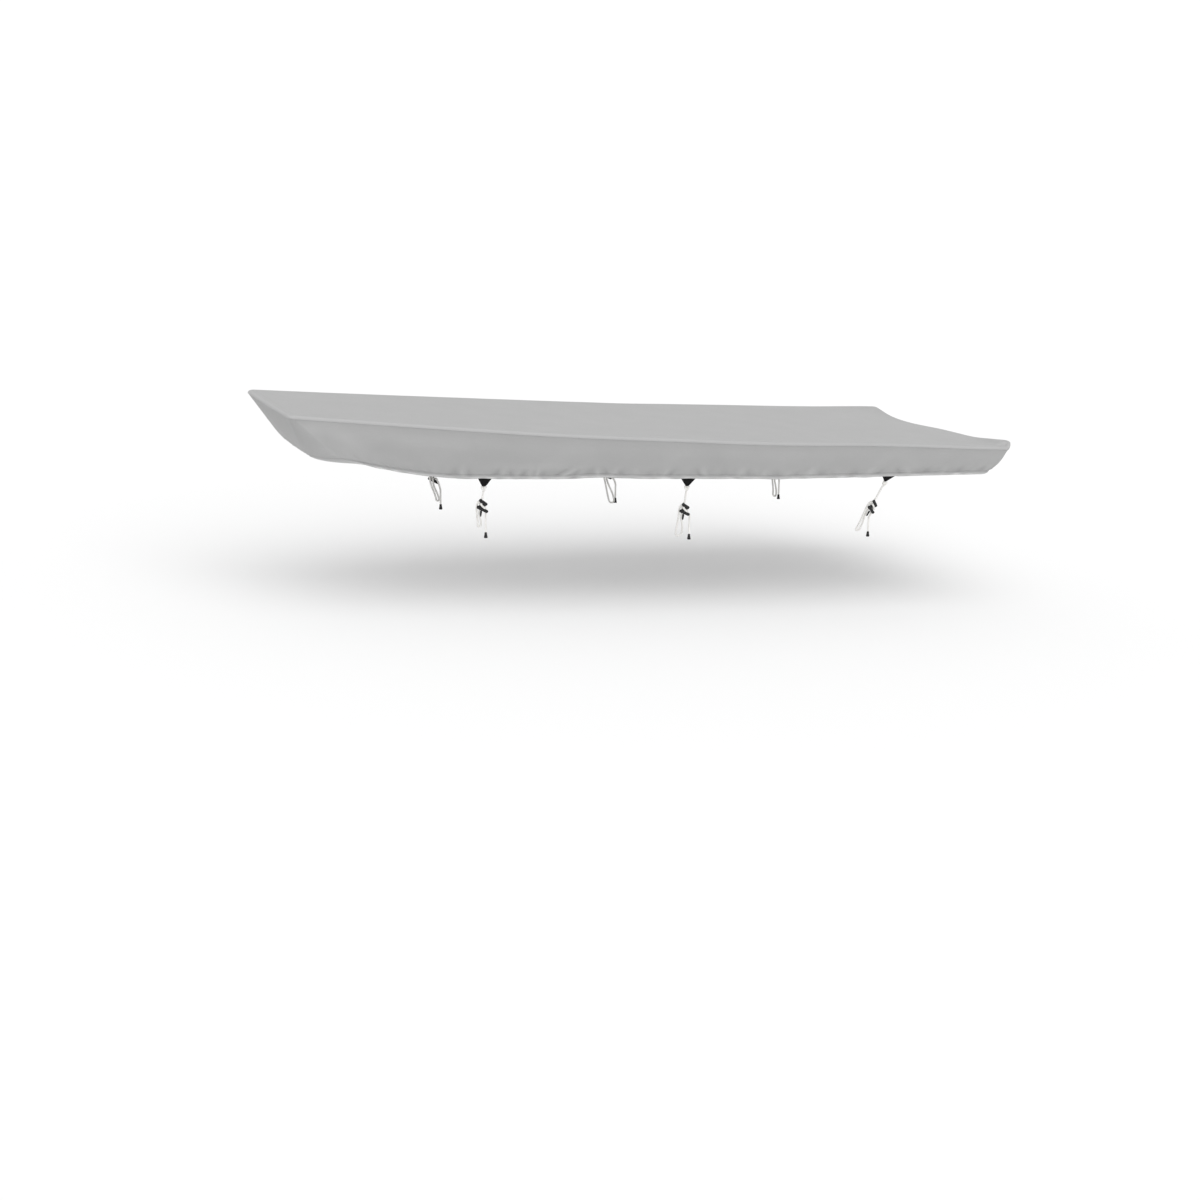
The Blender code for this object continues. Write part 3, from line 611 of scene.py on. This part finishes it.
DRAPES = (  # x on the port side, height above the hem, slant, half width, half height, depth
    (-1.93, 0.130, -0.5, 0.050, 0.090, -0.0040),
    (-1.80, 0.120, -0.9, 0.060, 0.090, 0.0035),
    (-1.62, 0.150, 0.8, 0.060, 0.080, -0.0030),
    (-1.42, 0.185, 0.0, 0.280, 0.045, 0.0055),
    (-1.35, 0.110, 0.4, 0.080, 0.070, 0.0030),
    (-1.02, 0.120, 0.5, 0.070, 0.080, -0.0030),
    (-0.82, 0.062, 0.0, 0.220, 0.017, 0.0042),
    (-0.70, 0.100, 0.7, 0.060, 0.070, 0.0030),
    (-0.38, 0.110, -0.6, 0.070, 0.070, -0.0026),
    (-0.05, 0.090, 0.9, 0.050, 0.060, 0.0028),
    (0.24, 0.090, -0.9, 0.060, 0.060, -0.0024),
    (0.62, 0.090, 0.4, 0.080, 0.060, 0.0024),
    (1.00, 0.090, -0.3, 0.080, 0.060, -0.0024),
    (1.30, 0.080, 0.9, 0.050, 0.050, 0.0024),
    (1.52, 0.080, -0.9, 0.050, 0.050, 0.0022),
    (1.78, 0.080, 0.4, 0.060, 0.050, -0.0024),
    (2.02, 0.080, 0.8, 0.050, 0.050, 0.0018),
)
PUCKER_LOWER = 0.004  # the puckers sit this much lower than their table says
STARBOARD_PUCKERS = (0.11, -1.02)  # the port side's x for x on the starboard side: this plus this times x
STARBOARD_DRAPES = (0.2, -1)
TUGS = ((-1.07, 0.040), (0.083, 0.046), (1.383, 0.045))  # a tab's place and half its width
TUG_LIFTS = (0.0016, 0.0014)  # the hem's rise at a tab, and just aft of it
BOW_PAINTED_HIGHLIGHT = (-2.0, 0.045, 0.06, 0.07, 0.04)  # painted highlight aft of the port bow corner: x, depth below the roll, how much paler, reach in each
HEM_SEAM = ((0.0195, 0.0008),)  # place up from the hem, half width
SKIRT_WAVES = {  # in the columns of TOP_WAVES
    "bead": (11, 2, 12, 12),
    "width": (12, 0.3, 1.5, 5),
    "pucker": (13, 8, 26, 22),
    "gather": (14, 5, 14, 16),
    "drape": (15, 0.5, 2.4, 9),
    "seam": (16, 1.5, 6, 12),
    "hem": (17, 2, 9, 9),
    # rope: the unevenness of the bead's painted highlight
    "rope": (18, 2, 12, 14),
    # thread: the unevenness of the painted shade along the hem's stitching
    "thread": (19, 3, 16, 16),
    # dust: the unevenness of the painted shade band above the hem
    "dust": (20, 0.4, 2.5, 6),
}


def folds(table, x, up):
    """The sum of a table's folds: each is a Gaussian across its slanted line times one along it."""
    total = 0.0
    for at, height, slant, half_width, half_height, depth in table:
        across = x - at - slant * (up - height)
        total = total + depth * np.exp(-((across / half_width) ** 2) - ((up - height) / half_height) ** 2)
    return total


def skirt_waves(name, at):
    """One of the skirt's uneven lines."""
    return uneven(at, *SKIRT_WAVES[name])


def skirt_rows(drop):
    """Each row's distance below the roll: set depths below it, set heights above the hem, and rows spread
    evenly between."""
    upper = np.broadcast_to(np.array(BELOW_ROLL)[:, None], (len(BELOW_ROLL), len(drop)))
    lower = drop - np.array(ABOVE_HEM)[:, None]
    t = (np.arange(1, BETWEEN) / BETWEEN)[:, None]
    return np.concatenate([upper, upper[-1] * (1 - t) + lower[0] * t, lower])


def make_skirt():
    """The skirt's face with its relief along the normals: the hem's bead, the tables' folds, and gathers,
    drapes and the seam's pull, each a Gaussian up the skirt times an uneven line along it. So is most of the
    painted light and shade. The hem rises at the tabs."""
    columns = rim_columns(*SKIRT_STEPS)
    drop = fall(columns)
    down = skirt_rows(drop)
    up = drop - down
    share, turn, _, side = columns
    base = side_face(columns, down / drop, 0.0)
    x = base[..., 0]
    step = np.linalg.norm(np.roll(base[0], -1, axis=0) - base[0], axis=1)
    along = np.concatenate([[0], np.cumsum(step)[:-1]])
    port, starboard = (side < 0) * (turn == 0), (side > 0) * (turn == 0)

    bead = through(HEM_BEAD, 1, np.clip(up, 0, HEM_TOP)) * (1 + 0.22 * skirt_waves("bead", along))
    width = 0.55 + 0.45 * skirt_waves("width", along)
    pucker = skirt_waves("pucker", along[None] + 0.4 * up) * np.clip(width, 0.15, 1)
    gather = 0.0018 * pucker * hump(up, 0.026, 0.013)
    gather += 0.0014 * skirt_waves("gather", along[None] - 0.3 * up) * hump(up, 0.042, 0.026)
    drape = 0.0022 * skirt_waves("drape", along[None] + 0.9 * up)
    drape = drape * hump(up / drop, 0.45, 0.30)
    seam = -0.0010 * (1 + 0.6 * skirt_waves("seam", along)) * hump(down, 0.0056, 0.0024)
    at_ends = (turn > 0) * 0.6
    lowered = up + PUCKER_LOWER
    start, scale = STARBOARD_PUCKERS
    puckers = port * folds(PUCKERS, x, lowered) + starboard * folds(PUCKERS, start + scale * x, lowered)
    start, scale = STARBOARD_DRAPES
    folded = puckers * 1.1 + port * folds(DRAPES, x, up) + starboard * folds(DRAPES, start + scale * x, up)
    tuck = -0.0004 * hump(down, 0, 0.003)
    relief = bead + gather * (1 + at_ends) + drape + seam + folded + tuck
    relief = relief * np.clip((down - 0.0008) / 0.004, 0, 1)
    points = base + outward(base) * relief[..., None]

    lift = 0.0
    for at, half in TUGS:
        for place, size, reach in ((0.0, TUG_LIFTS[0], half * 1.1), (half + 0.014, TUG_LIFTS[1], 0.010)):
            lift = lift + size * np.exp(-(((x - at - place) / reach) ** 2) - (up / 0.030) ** 2)
    lift = lift * (turn == 0) + 0.0012 * skirt_waves("hem", along) * hump(up, 0, 0.020)
    points[..., 2] += lift

    # Painted highlight along the hem's bead, uneven along it.
    rope = np.exp(-(((up - 0.0065) / 0.0062) ** 4)) * (0.30 + 0.30 * skirt_waves("rope", along))
    # Painted shade along the groove of the hem's stitching.
    thread = -0.07 * (1 + 0.9 * skirt_waves("thread", along)) * hump(up, 0.0200, 0.0042)
    # Painted shade on the skirt just below the top's lap.
    painted_shade_under_lap = -0.04 * (1 + 0.8 * skirt_waves("seam", along)) * hump(down, 0.0054, 0.0028)
    # Painted shade: the sides darker, most towards the hem and least by the bow corner; the bow's end darker
    # in its upper part and paler low down.
    painted_side_and_bow_shade = 0.04 + 0.035 * (down / drop) ** 2
    painted_side_and_bow_shade = painted_side_and_bow_shade * (1 - 0.8 * hump(x, -1.9, 0.2))
    painted_side_and_bow_shade = painted_side_and_bow_shade + (share < 0.5) * np.sin(turn) ** 2 * (0.12 - 0.16 * (down / drop) ** 2)
    # Painted highlight just aft of the port bow corner.
    worn = port * humps([BOW_PAINTED_HIGHLIGHT], x, down)
    # Painted shade in a soft band above the hem, stronger towards the stern.
    painted_band_above_hem = -0.04 * (1 + 0.5 * skirt_waves("dust", along)) * hump(up, 0.034, 0.015)
    painted_band_above_hem = painted_band_above_hem * (1 + np.clip(x - 1.2, 0, 0.8))
    # Painted light and shade from the relief: paler on the ridges of the puckers and folds, darker in their
    # valleys.
    painted_fold_light_and_shade = np.clip((puckers + gather) / 0.004, -1.3, 1.2) * 0.12 + np.clip(folded / 0.004, -1, 1) * 0.03
    shade = rope + thread + painted_shade_under_lap + painted_band_above_hem + painted_fold_light_and_shade + worn - painted_side_and_bow_shade

    uv = np.stack([np.broadcast_to(along, up.shape), up], -1).reshape(-1, 2)
    return points, grid_faces(up.shape), uv, {"edge": up, "shade": shade}


skirt_points, skirt_faces, skirt_uv, skirt_values = make_skirt()
skirt_cloth = cloth_finish("grey_polyester_skirt", HEM_SEAM)
cover_skirt = piece("cover_skirt", skirt_points, skirt_faces, skirt_cloth, skirt_uv, skirt_values)
thicken(cover_skirt, SHEET)
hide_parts("cover")

# ==== tabs
# Black webbing sewn up behind the hem, folded in to a blunt tip where the rope is knotted through. The rope's
# pull draws the tip aside and gathers the webbing into ridges.
TAB_TUCK = 0.012  # up behind the hem
TAB_THICKNESS = 0.0025  # the room that it takes up
TAB_WEBBING = 0.0019  # the webbing's own thickness
TAB_TIP = 0.028
TAB_GAP = 0.0008  # behind the cloth
TAB_OUT = -(CLOTH + TAB_GAP + TAB_THICKNESS / 2)  # from the hem's face out to the webbing's middle
TAB_GRID = (30, 33)  # rows down, columns across
HEM_PROUD = 0.0015  # how far the line along the hem that gives the tabs' places stands proud
WEBBING_RIB = 0.0022
WEBBING_PICK = 0.0011
TIE_LEAN = math.radians(22)
WEBBING_BLACK = (0.006, 0.006, 0.0065)
DUST = (0.35, 0.34, 0.33)
TIES = (
    # Place, x, sway aft in degrees, tab width, tab height, hem to tensioner, tensioner to the loop's foot,
    # the foot's place across, loop width, the free end's place across.
    ("bow", -1.066, 3.0, 0.074, 0.048, 0.1665, 0.140, -0.006, 0.018, 0.025),
    ("mid", 0.090, 7.5, 0.088, 0.049, 0.2005, 0.185, -0.014, 0.037, 0.040),
    ("stern", 1.392, -12.5, 0.086, 0.035, 0.2095, 0.180, -0.004, 0.024, 0.025),
)


def hem_place(x, side, width):
    """A tab's place on the hem and its axes as rows: aft along the hem, across the cloth (inboard to port and
    outboard to starboard), and up along the side, which leans out."""
    line = side_face(rim_columns(300, 300, 2, 2), 1.0, HEM_PROUD)
    line = line[np.sign(line[:, 1]) == side]
    line = line[np.argsort(line[:, 0])]
    ends = np.array([x - width / 2, x + width / 2])
    y, z = [np.interp(ends, line[:, 0], line[:, k]) for k in (1, 2)]
    along = np.array([width, y[1] - y[0], z[1] - z[0]])
    along /= np.linalg.norm(along)
    lean = Matrix.Rotation(-side * TIE_LEAN, 3, along.tolist())
    up = np.array(lean @ Matrix.Identity(3).col[2])
    across = np.cross(up, along)
    across /= np.linalg.norm(across)
    return np.array([x, y.mean(), z.mean()]), np.array([along, across, np.cross(along, across)])


def webbing_finish():
    """Black polypropylene webbing: ribs along its length, cross threads, and dust on the ribs."""
    made, shader, start = finish("black_webbing", WEBBING_BLACK, 0.85, specular=0.15)
    uv, u, v = own_map(start)
    ribs = (u * (2 * math.pi / WEBBING_RIB)).math("SINE")
    picks = (v * (2 * math.pi / WEBBING_PICK) + ribs * 0.6).math("SINE")
    dust = uv.noise(90.0, 3.0, flat=True)
    dusted = (ribs * 0.5 + 0.5) * dust * 0.02
    dusted.mix(WEBBING_BLACK, DUST).to(shader, "Base Color")
    (ribs * 0.6 + picks * 0.3).bump(0.7, 0.0006).to(shader, "Normal")
    return made


def make_tab(width, height, shift, side):
    """A trapezoid that narrows to the shifted tip, whose corners are cut. Ridges run down it and close up to
    the tip, and its edges curl a little."""
    down = np.linspace(-TAB_TUCK, height, TAB_GRID[0])[:, None]
    across = np.linspace(-1, 1, TAB_GRID[1])[None]
    corner = 0.2 * TAB_TIP
    t = np.clip(down / (height - corner), 0, 1)
    cut = np.clip((down - height + corner) / corner, 0, 1) * corner
    left = -width / 2 * (1 - t) + (shift - TAB_TIP / 2) * t + cut
    right = width / 2 * (1 - t) + (shift + TAB_TIP / 2) * t - cut
    x = left + (right - left) * (across + 1) / 2
    ease = np.clip(down / height, 0, 1)
    ridge = 0.0013 * np.cos(across * 9.4 + 0.5) * ease * (1.2 - 0.5 * ease)
    ridge = ridge + 0.0006 * np.cos(across * 21) * ease
    curl = -0.0012 * np.abs(across) ** 3 * ease
    stretched = x * 0 + down
    points = np.stack([x, side * (TAB_OUT + ridge + curl), -stretched], -1)
    uv = np.stack([np.broadcast_to(across * width / 2, x.shape), stretched], -1)
    return points, uv.reshape(-1, 2)


webbing = webbing_finish()
ties = []
for place, x, sway, tab_width, tab_height, reach, loop, foot_across, loop_width, free in TIES:
    for side, side_name in ((-1, "port"), (1, "starboard")):
        sway_angle = math.radians(sway)
        origin, axes = hem_place(x, side, tab_width)
        points, uv = make_tab(tab_width, tab_height, tab_height * math.tan(sway_angle), side)
        faces = grid_faces(points.shape[:2], closed=(0, 0))[:, ::-side]
        name = f"{side_name}_{place}"
        tab = piece("webbing_" + name, origin + points @ axes, faces, webbing, uv)
        thicken(tab, TAB_WEBBING, offset=0)
        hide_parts("tab_" + name)
        c, s = math.cos(sway_angle), math.sin(sway_angle)
        turned = np.array([[c, 0, s], [0, 1, 0], [-s, 0, c]]) @ axes
        ties.append({
            "name": name, "side": side, "origin": origin, "axes": turned, "sway": sway_angle,
            "tab": tab_height, "reach": reach, "loop": loop, "foot": foot_across, "width": loop_width,
            "free": free,
        })

# ==== knots
# The rope comes through the tab's tip and is tied off under it in an overhand knot, drawn tight. The rope is
# white braided polyester, 11 mm thick.
ROPE = 0.011
SEAT = 0.0003
KNOT_SIZE = (0.033, 0.023, 0.028)  # across, out, up
KNOT_LINE = (0.0043, 0.0034, 0.0057, 0.0016)  # a, b and c of its line, and how far the line is raised
KNOT_RADIUS = 0.0053  # of the rope, drawn tight
KNOT_STEPS, KNOT_SIDES = 150, 18
CROWN = 0.0074  # one crown of the braid along the rope
CROWNS_ROUND = 5
VALLEY, CREST = 0.89, 0.12  # the braid's radius between its crowns, and what they add, as shares
BRAID_WHITE = (0.86, 0.855, 0.835)
BRAID_SOIL_AND_SHADE = (0.50, 0.48, 0.44)


def turns(count):
    """Angles evenly once round."""
    return np.linspace(0, 2 * math.pi, count, endpoint=False)


def tube(path, radius, facing, sides, crown, closed):
    """A braided rope: a circle round each point of a path, measured from a facing direction. Its radius
    swells by the root of the product of two crossing helices' cosines. An open rope's ends close in quarter
    circles."""
    if closed:
        tangent = np.roll(path, -1, axis=0) - np.roll(path, 1, axis=0)
    else:
        tangent = np.gradient(path, axis=0)
    tangent = unit(tangent)
    first = unit(np.cross(tangent, facing))
    second = np.cross(tangent, first)
    along = np.concatenate([[0], np.cumsum(np.linalg.norm(np.diff(path, axis=0), axis=1))])[:, None]
    turn = turns(sides)[None]
    twist = 2 * math.pi * along / crown
    weave = np.abs(np.cos((CROWNS_ROUND * turn + twist) / 2) * np.cos((CROWNS_ROUND * turn - twist) / 2))
    swell = radius * (VALLEY + CREST * np.sqrt(weave))
    if not closed:
        near_end = np.clip(np.minimum(along, along[-1] - along) / radius, 0.0005, 1)
        swell = swell * np.sqrt(near_end * (2 - near_end))
    ring = np.cos(turn)[..., None] * first[:, None] - np.sin(turn)[..., None] * second[:, None]
    points = path[:, None] + swell[..., None] * ring
    uv = np.stack(np.broadcast_arrays(turn / (2 * math.pi), along), -1)
    return points, uv.reshape(-1, 2)


def braid_finish():
    """White braid: pale crowns with painted shade in the valleys between, random soil, and fine yarns."""
    made, shader, start = finish("white_braid", BRAID_WHITE, 0.78, 0.15)
    _, u, v = own_map(start)
    turn, twist = u * (math.pi * CROWNS_ROUND), v * (math.pi / CROWN)
    crowns = ((turn + twist).math("COSINE") * (turn - twist).math("COSINE")).math("ABSOLUTE").math("SQRT")
    yarns = (v * 7500.0 + u * 60.0).math("SINE")
    soil = start.node("ShaderNodeTexCoord", output=3).noise(45.0, 3.0)
    # Painted shade between the crowns, and random soil.
    (crowns * 0.9 + soil * 0.5).mix(BRAID_SOIL_AND_SHADE, BRAID_WHITE).to(shader, "Base Color")
    (crowns + yarns * 0.1).bump(0.5, 0.0004).to(shader, "Normal")
    return made


def knot_line():
    """The line of a trefoil: across a(sin t + 2 sin 2t), up b(cos t - 2 cos 2t), out c sin 3t."""
    a, b, c, raised = KNOT_LINE
    t = turns(KNOT_STEPS)
    across, up = a * (np.sin(t) + 2 * np.sin(2 * t)), b * (np.cos(t) - 2 * np.cos(2 * t))
    return np.stack([across, c * np.sin(3 * t), up + raised], -1)


braid = braid_finish()
for tie in ties:
    sway = tie["sway"]
    seat = math.hypot(KNOT_SIZE[0] / 2 * math.sin(sway), KNOT_SIZE[2] / 2 * math.cos(sway))
    tie["drop"] = (tie["tab"] + SEAT + seat) / math.cos(sway)
    middle = np.array([0, tie["side"] * TAB_OUT, -tie["drop"]])
    path = knot_line()
    length = np.linalg.norm(np.roll(path, -1, axis=0) - path, axis=1).sum()
    points, uv = tube(path, KNOT_RADIUS, path, KNOT_SIDES, length / round(length / CROWN), True)
    points = tie["origin"] + (points + middle) @ tie["axes"]
    faces = grid_faces((KNOT_STEPS, KNOT_SIDES), closed=(1, 1))
    tie["knot"] = piece("overhand_knot_" + tie["name"], points, faces, braid, uv)
    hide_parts("knot_" + tie["name"])

# ==== tensioners
# A black moulded zigzag of three slanted bars with a hook under the lowest. The rope passes behind the bars
# and over them, and grips in the angles.
TENSIONER_THICKNESS = 0.009
STROKE = 0.0178
ZIGZAG = ((-0.015, 0.038), (0.0165, 0.012), (-0.0245, -0.006), (0.0245, -0.036))  # its bends: across, up
HOOK = ((-0.006, -0.036), (-0.006, -0.0645))
HOOK_HALF, HOOK_THIN, HOOK_TAPER = 0.0056, 0.8, 0.62  # half its width, then shares at its face and its tip
BAR_SIDES, BAR_SQUARENESS = 24, 0.45  # its section's points, and the power that squares it
GRIP_RIB, GRIP_DEPTH = 0.0042, 0.05  # from rib to rib, and how deep as a share of the thickness
MOULDED = 0.985  # the zigzag's scale about its middle
MOULDING_BLACK = (0.007, 0.007, 0.0075)
HANDLED_GREY = (0.16, 0.16, 0.16)


def moulding_finish():
    """Black nylon as moulded: a fine spark texture, dulled and paler where it has been handled."""
    made, shader, start = finish("black_moulding", MOULDING_BLACK, 0.45, specular=0.3)
    thing = start.node("ShaderNodeTexCoord", output=3)
    grain, worn = thing.noise(1400.0, 2.0), thing.noise(60.0, 4.0)
    (worn * 0.05).mix(MOULDING_BLACK, HANDLED_GREY).to(shader, "Base Color")
    (worn * 0.3 + 0.3).to(shader, "Roughness")
    grain.bump(0.25, 0.0002).to(shader, "Normal")
    return made


def bar(start, stop, half, thick, taper):
    """A bar with a stadium's outline: a rounded rectangle (a superellipse) carried from start to stop and
    past them by its half width, narrowing there as a circle does. Shallow grip ribs cross its face."""
    start, stop = np.array(start), np.array(stop)
    length = np.linalg.norm(stop - start)
    way = (stop - start) / length
    u = np.concatenate([-half * np.cos(np.linspace(0, math.pi / 2, 9)), np.linspace(0, length, 15)[1:-1],
                        length + half * taper * np.sin(np.linspace(0, math.pi / 2, 9))])[:, None]
    past = np.clip(np.maximum(-u / half, (u - length) / (half * taper)), 0, 1)
    narrow = 1 - (1 - taper) * np.clip(u / length, 0, 1)
    wide = half * narrow * np.sqrt(np.clip(1 - past**2, 0.0004, 1))
    ribs = 1 - GRIP_DEPTH * np.cos(2 * math.pi * u / GRIP_RIB)
    deep = thick / 2 * np.sqrt(np.clip(1 - past**6, 0.0025, 1)) * ribs
    v = turns(BAR_SIDES)[None]
    across = wide * np.sign(np.cos(v)) * np.abs(np.cos(v)) ** BAR_SQUARENESS
    out = deep * np.sign(np.sin(v)) * np.abs(np.sin(v)) ** BAR_SQUARENESS
    x = start[0] + way[0] * u - way[1] * across
    z = start[1] + way[1] * u + way[0] * across
    return np.stack([x, out, z], -1)


moulding = moulding_finish()
for tie in ties:
    points, faces = [], []
    bars = [(ZIGZAG[k], ZIGZAG[k + 1], STROKE / 2, TENSIONER_THICKNESS, 1.0) for k in range(3)]
    bars.append((*HOOK, HOOK_HALF, TENSIONER_THICKNESS * HOOK_THIN, HOOK_TAPER))
    for each in bars:
        shape = bar(*each)
        faces.append(grid_faces(shape.shape[:2], first=sum(len(p) for p in points)))
        points.append(shape.reshape(-1, 3))
    points, faces = np.concatenate(points), np.concatenate(faces)
    out = ROPE / 2 + SEAT + TENSIONER_THICKNESS / 2
    points = points * MOULDED + np.array([0, tie["side"] * out, -tie["reach"]])
    points = tie["origin"] + points @ tie["axes"]
    tie["tensioner"] = piece("zigzag_tensioner_" + tie["name"], points, faces, moulding)
    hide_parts("tensioner_" + tie["name"])

# ==== end caps
# A black moulded bell on each rope's free end, which covers the cut braid and gives the hand something to
# pull.
BELL = (  # radius, up from the rope's end
    (0.0002, 0.0000),
    (0.0042, 0.0000),
    (0.0060, -0.0008),
    (0.0068, -0.0026),
    (0.0070, -0.0062),
    (0.0066, -0.0070),
    (0.0066, -0.0080),
    (0.0072, -0.0088),
    (0.0076, -0.0126),
    (0.0083, -0.0173),
    (0.0093, -0.0220),
    (0.0101, -0.0253),
    (0.0101, -0.0286),
    (0.0096, -0.0299),
    (0.0087, -0.0299),
    (0.0082, -0.0284),
    (0.0071, -0.0226),
    (0.0064, -0.0205),
    (0.0002, -0.0200),
)
FREE_SWAY = math.radians(5)  # the free ends hang plumb from a boat that stands bow up
FREE_DROP = 0.084
BELL_SIDES = 30


def route(tie):
    """The rope's line: from inside its knot, behind the tensioner's upper bars, round the trailer's beam in a
    loop, back up behind the lower bars, over the middle bar, behind the lowest, and down to the cap. Its
    points are across, out, and down from the hem."""
    reach, r, free = tie["reach"], tie["width"] / 2, tie["free"]
    foot, c = tie["reach"] + tie["loop"], tie["foot"]
    start = tie["drop"] + KNOT_SIZE[2] / 2 + SEAT
    front = ROPE + 2 * SEAT + TENSIONER_THICKNESS
    held = np.array([
        # Out of the knot and down to the tensioner's upper end.
        (0.0, TAB_OUT, start - 0.007),
        (0.0, TAB_OUT, start),
        (-0.001, TAB_OUT, start + 0.012),
        (-0.0025, TAB_OUT / 2, (start + reach) / 2 - 0.015),
        (-0.004, 0.0, reach - 0.050),
        (-0.0105, -0.0004, reach - 0.034),
        # Behind the upper bars.
        (-0.022, -0.0035, reach - 0.020),
        (-0.028, -0.0045, reach - 0.004),
        (-0.0292, -0.0025, reach + 0.014),
        (-0.0285, -0.0005, reach + 0.036),
        # The loop.
        (c - r, 0.0, foot - 2 * r),
        (c - r, 0.0, foot - r),
        (c - 0.7 * r, 0.0, foot - 0.3 * r),
        (c, 0.0, foot),
        (c + 0.7 * r, 0.0, foot - 0.3 * r),
        (c + r, 0.0, foot - r),
        (c + r, 0.0, foot - 2 * r),
        # Up behind the lower bars.
        (-0.0125, -0.0005, reach + 0.040),
        (-0.0115, -0.0008, reach + 0.020),
        (-0.0115, -0.0012, reach),
        (-0.0125, -0.001, reach - 0.011),
        (-0.0133, 0.0048, reach - 0.0166),
        # Over the middle bar.
        (-0.0128, 0.016, reach - 0.0166),
        (-0.0085, front + 0.0007, reach - 0.0125),
        (-0.001, front + 0.001, reach - 0.0045),
        (0.006, front + 0.0007, reach + 0.003),
        (0.0118, 0.017, reach + 0.0085),
        (0.014, 0.006, reach + 0.011),
        # Behind the lowest bar and down.
        (0.0155, -0.0006, reach + 0.016),
        (0.019, -0.0008, reach + 0.030),
        (0.9 * free, 0.0, reach + 0.048),
        (0.98 * free, 0.0, reach + 0.064),
        (free, 0.0, reach + 0.080),
    ])
    line = tie["origin"] + (held * (1, tie["side"], -1)) @ tie["axes"]
    plumb = np.array([math.sin(FREE_SWAY), 0, -math.cos(FREE_SWAY)])
    hanging = line[-1] + plumb * FREE_DROP * np.array([[0.25], [0.6], [1.0]])
    return np.concatenate([line, hanging]), plumb


for tie in ties:
    tie["route"], plumb = route(tie)
    profile = np.array(BELL)
    turn = turns(BELL_SIDES)[None]
    level = np.array([plumb[2], 0, -plumb[0]])
    ring = -np.cos(turn)[..., None] * level + np.sin(turn)[..., None] * np.array([0, 1.0, 0])
    middle = tie["route"][-1] + plumb * SEAT - plumb * profile[:, 1, None, None]
    points = middle + profile[:, 0, None, None] * ring
    faces = grid_faces(points.shape[:2])
    tie["bell"] = piece("end_cap_" + tie["name"], points, faces, moulding)
    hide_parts("bell_" + tie["name"])

# ==== ropes
# Each rope is one length of the white braid, 11 mm thick. It is tied off under its tab and looped round the
# trailer's beam, which is left out; the tensioner holds it tight and its end hangs free.
ROPE_STEP = 0.0016
ROPE_SIDES = 20


def smooth_line(points, step):
    """A curve of cubics through the points, with a point at least every step. Its direction at each point is
    that of a parabola through the point and its neighbours."""
    points = np.concatenate([[2 * points[0] - points[1]], points, [2 * points[-1] - points[-2]]])
    curve = []
    for a, b, c, d in zip(points, points[1:], points[2:], points[3:]):
        before, here, after = np.linalg.norm(b - a), np.linalg.norm(c - b), np.linalg.norm(d - c)
        leave = ((b - a) * here / before + (c - b) * before / here) * here / (before + here)
        arrive = ((c - b) * after / here + (d - c) * here / after) * here / (here + after)
        pieces = max(1, math.ceil(here / step))
        t = (np.arange(pieces) / pieces)[:, None]
        rest = 1 - t
        ends = b * rest**2 * (1 + 2 * t) + c * t**2 * (1 + 2 * rest)
        curve.append(ends + leave * t * rest**2 - arrive * t**2 * rest)
    return np.concatenate(curve + [points[-2:-1]])


for tie in ties:
    path = smooth_line(tie["route"], ROPE_STEP)
    points, uv = tube(path, ROPE / 2, tie["side"] * tie["axes"][1], ROPE_SIDES, CROWN, False)
    length = np.linalg.norm(np.diff(path, axis=0), axis=1).sum()
    faces = grid_faces(points.shape[:2])
    rope = piece("braided_rope_" + tie["name"], points, faces, braid, uv)
    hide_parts("rope_" + tie["name"])

# ==== floor and light
# A plain pale floor that runs out of sight, a soft sky that is whitest at the horizon, and one wide soft
# lamp high off the port bow.
FLOOR_REACH, FLOOR_LEVEL = 90, -0.95
FLOOR_GREY = (0.90, 0.90, 0.90)
LAMP_STRENGTH, LAMP_WIDTH = 1.45, 80  # the width in degrees, as seen from the cover
LAMP_TILTS = (34, -8, 0)  # degrees
SKY_STOPS = ((0.0, 0.90), (0.12, 0.90), (0.45, 0.66), (1.0, 0.52))  # height above the horizon, grey
SKY_STRENGTH = 1.22

floor_mesh = bpy.data.meshes.new("floor")
floor_signs = [(-1, -1), (1, -1), (1, 1), (-1, 1)]
floor_corners = [(FLOOR_REACH * a, FLOOR_REACH * b, FLOOR_LEVEL) for a, b in floor_signs]
floor_mesh.from_pydata(floor_corners, [], [(0, 1, 2, 3)])
floor = bpy.data.objects.new("floor", floor_mesh)
bpy.context.collection.objects.link(floor)
floor_paint, _, _ = finish("pale_floor", FLOOR_GREY, 0.9)
floor_mesh.materials.append(floor_paint)

lamp = bpy.data.objects.new("lamp", bpy.data.lights.new("lamp", "SUN"))
lamp.data.energy = LAMP_STRENGTH
lamp.data.angle = math.radians(LAMP_WIDTH)
lamp.rotation_euler = [math.radians(tilt) for tilt in LAMP_TILTS]
bpy.context.collection.objects.link(lamp)

sky = bpy.data.worlds.new("sky")
bpy.context.scene.world = sky
sky.use_nodes = True
sky_wire = Wire(sky.node_tree)
sky_way = sky_wire.node("ShaderNodeTexCoord", output=0)
sky_up = sky_way.node("ShaderNodeSeparateXYZ", inputs={0: sky_way}, output=2)
sky_ramp = sky_up.node("ShaderNodeValToRGB", {"stops": SKY_STOPS}, {0: sky_up})
sky_light = sky.node_tree.nodes["Background"]
sky_ramp.to(sky_light, "Color")
sky_light.inputs["Strength"].default_value = SKY_STRENGTH
bpy.context.scene.view_settings.view_transform = "Standard"
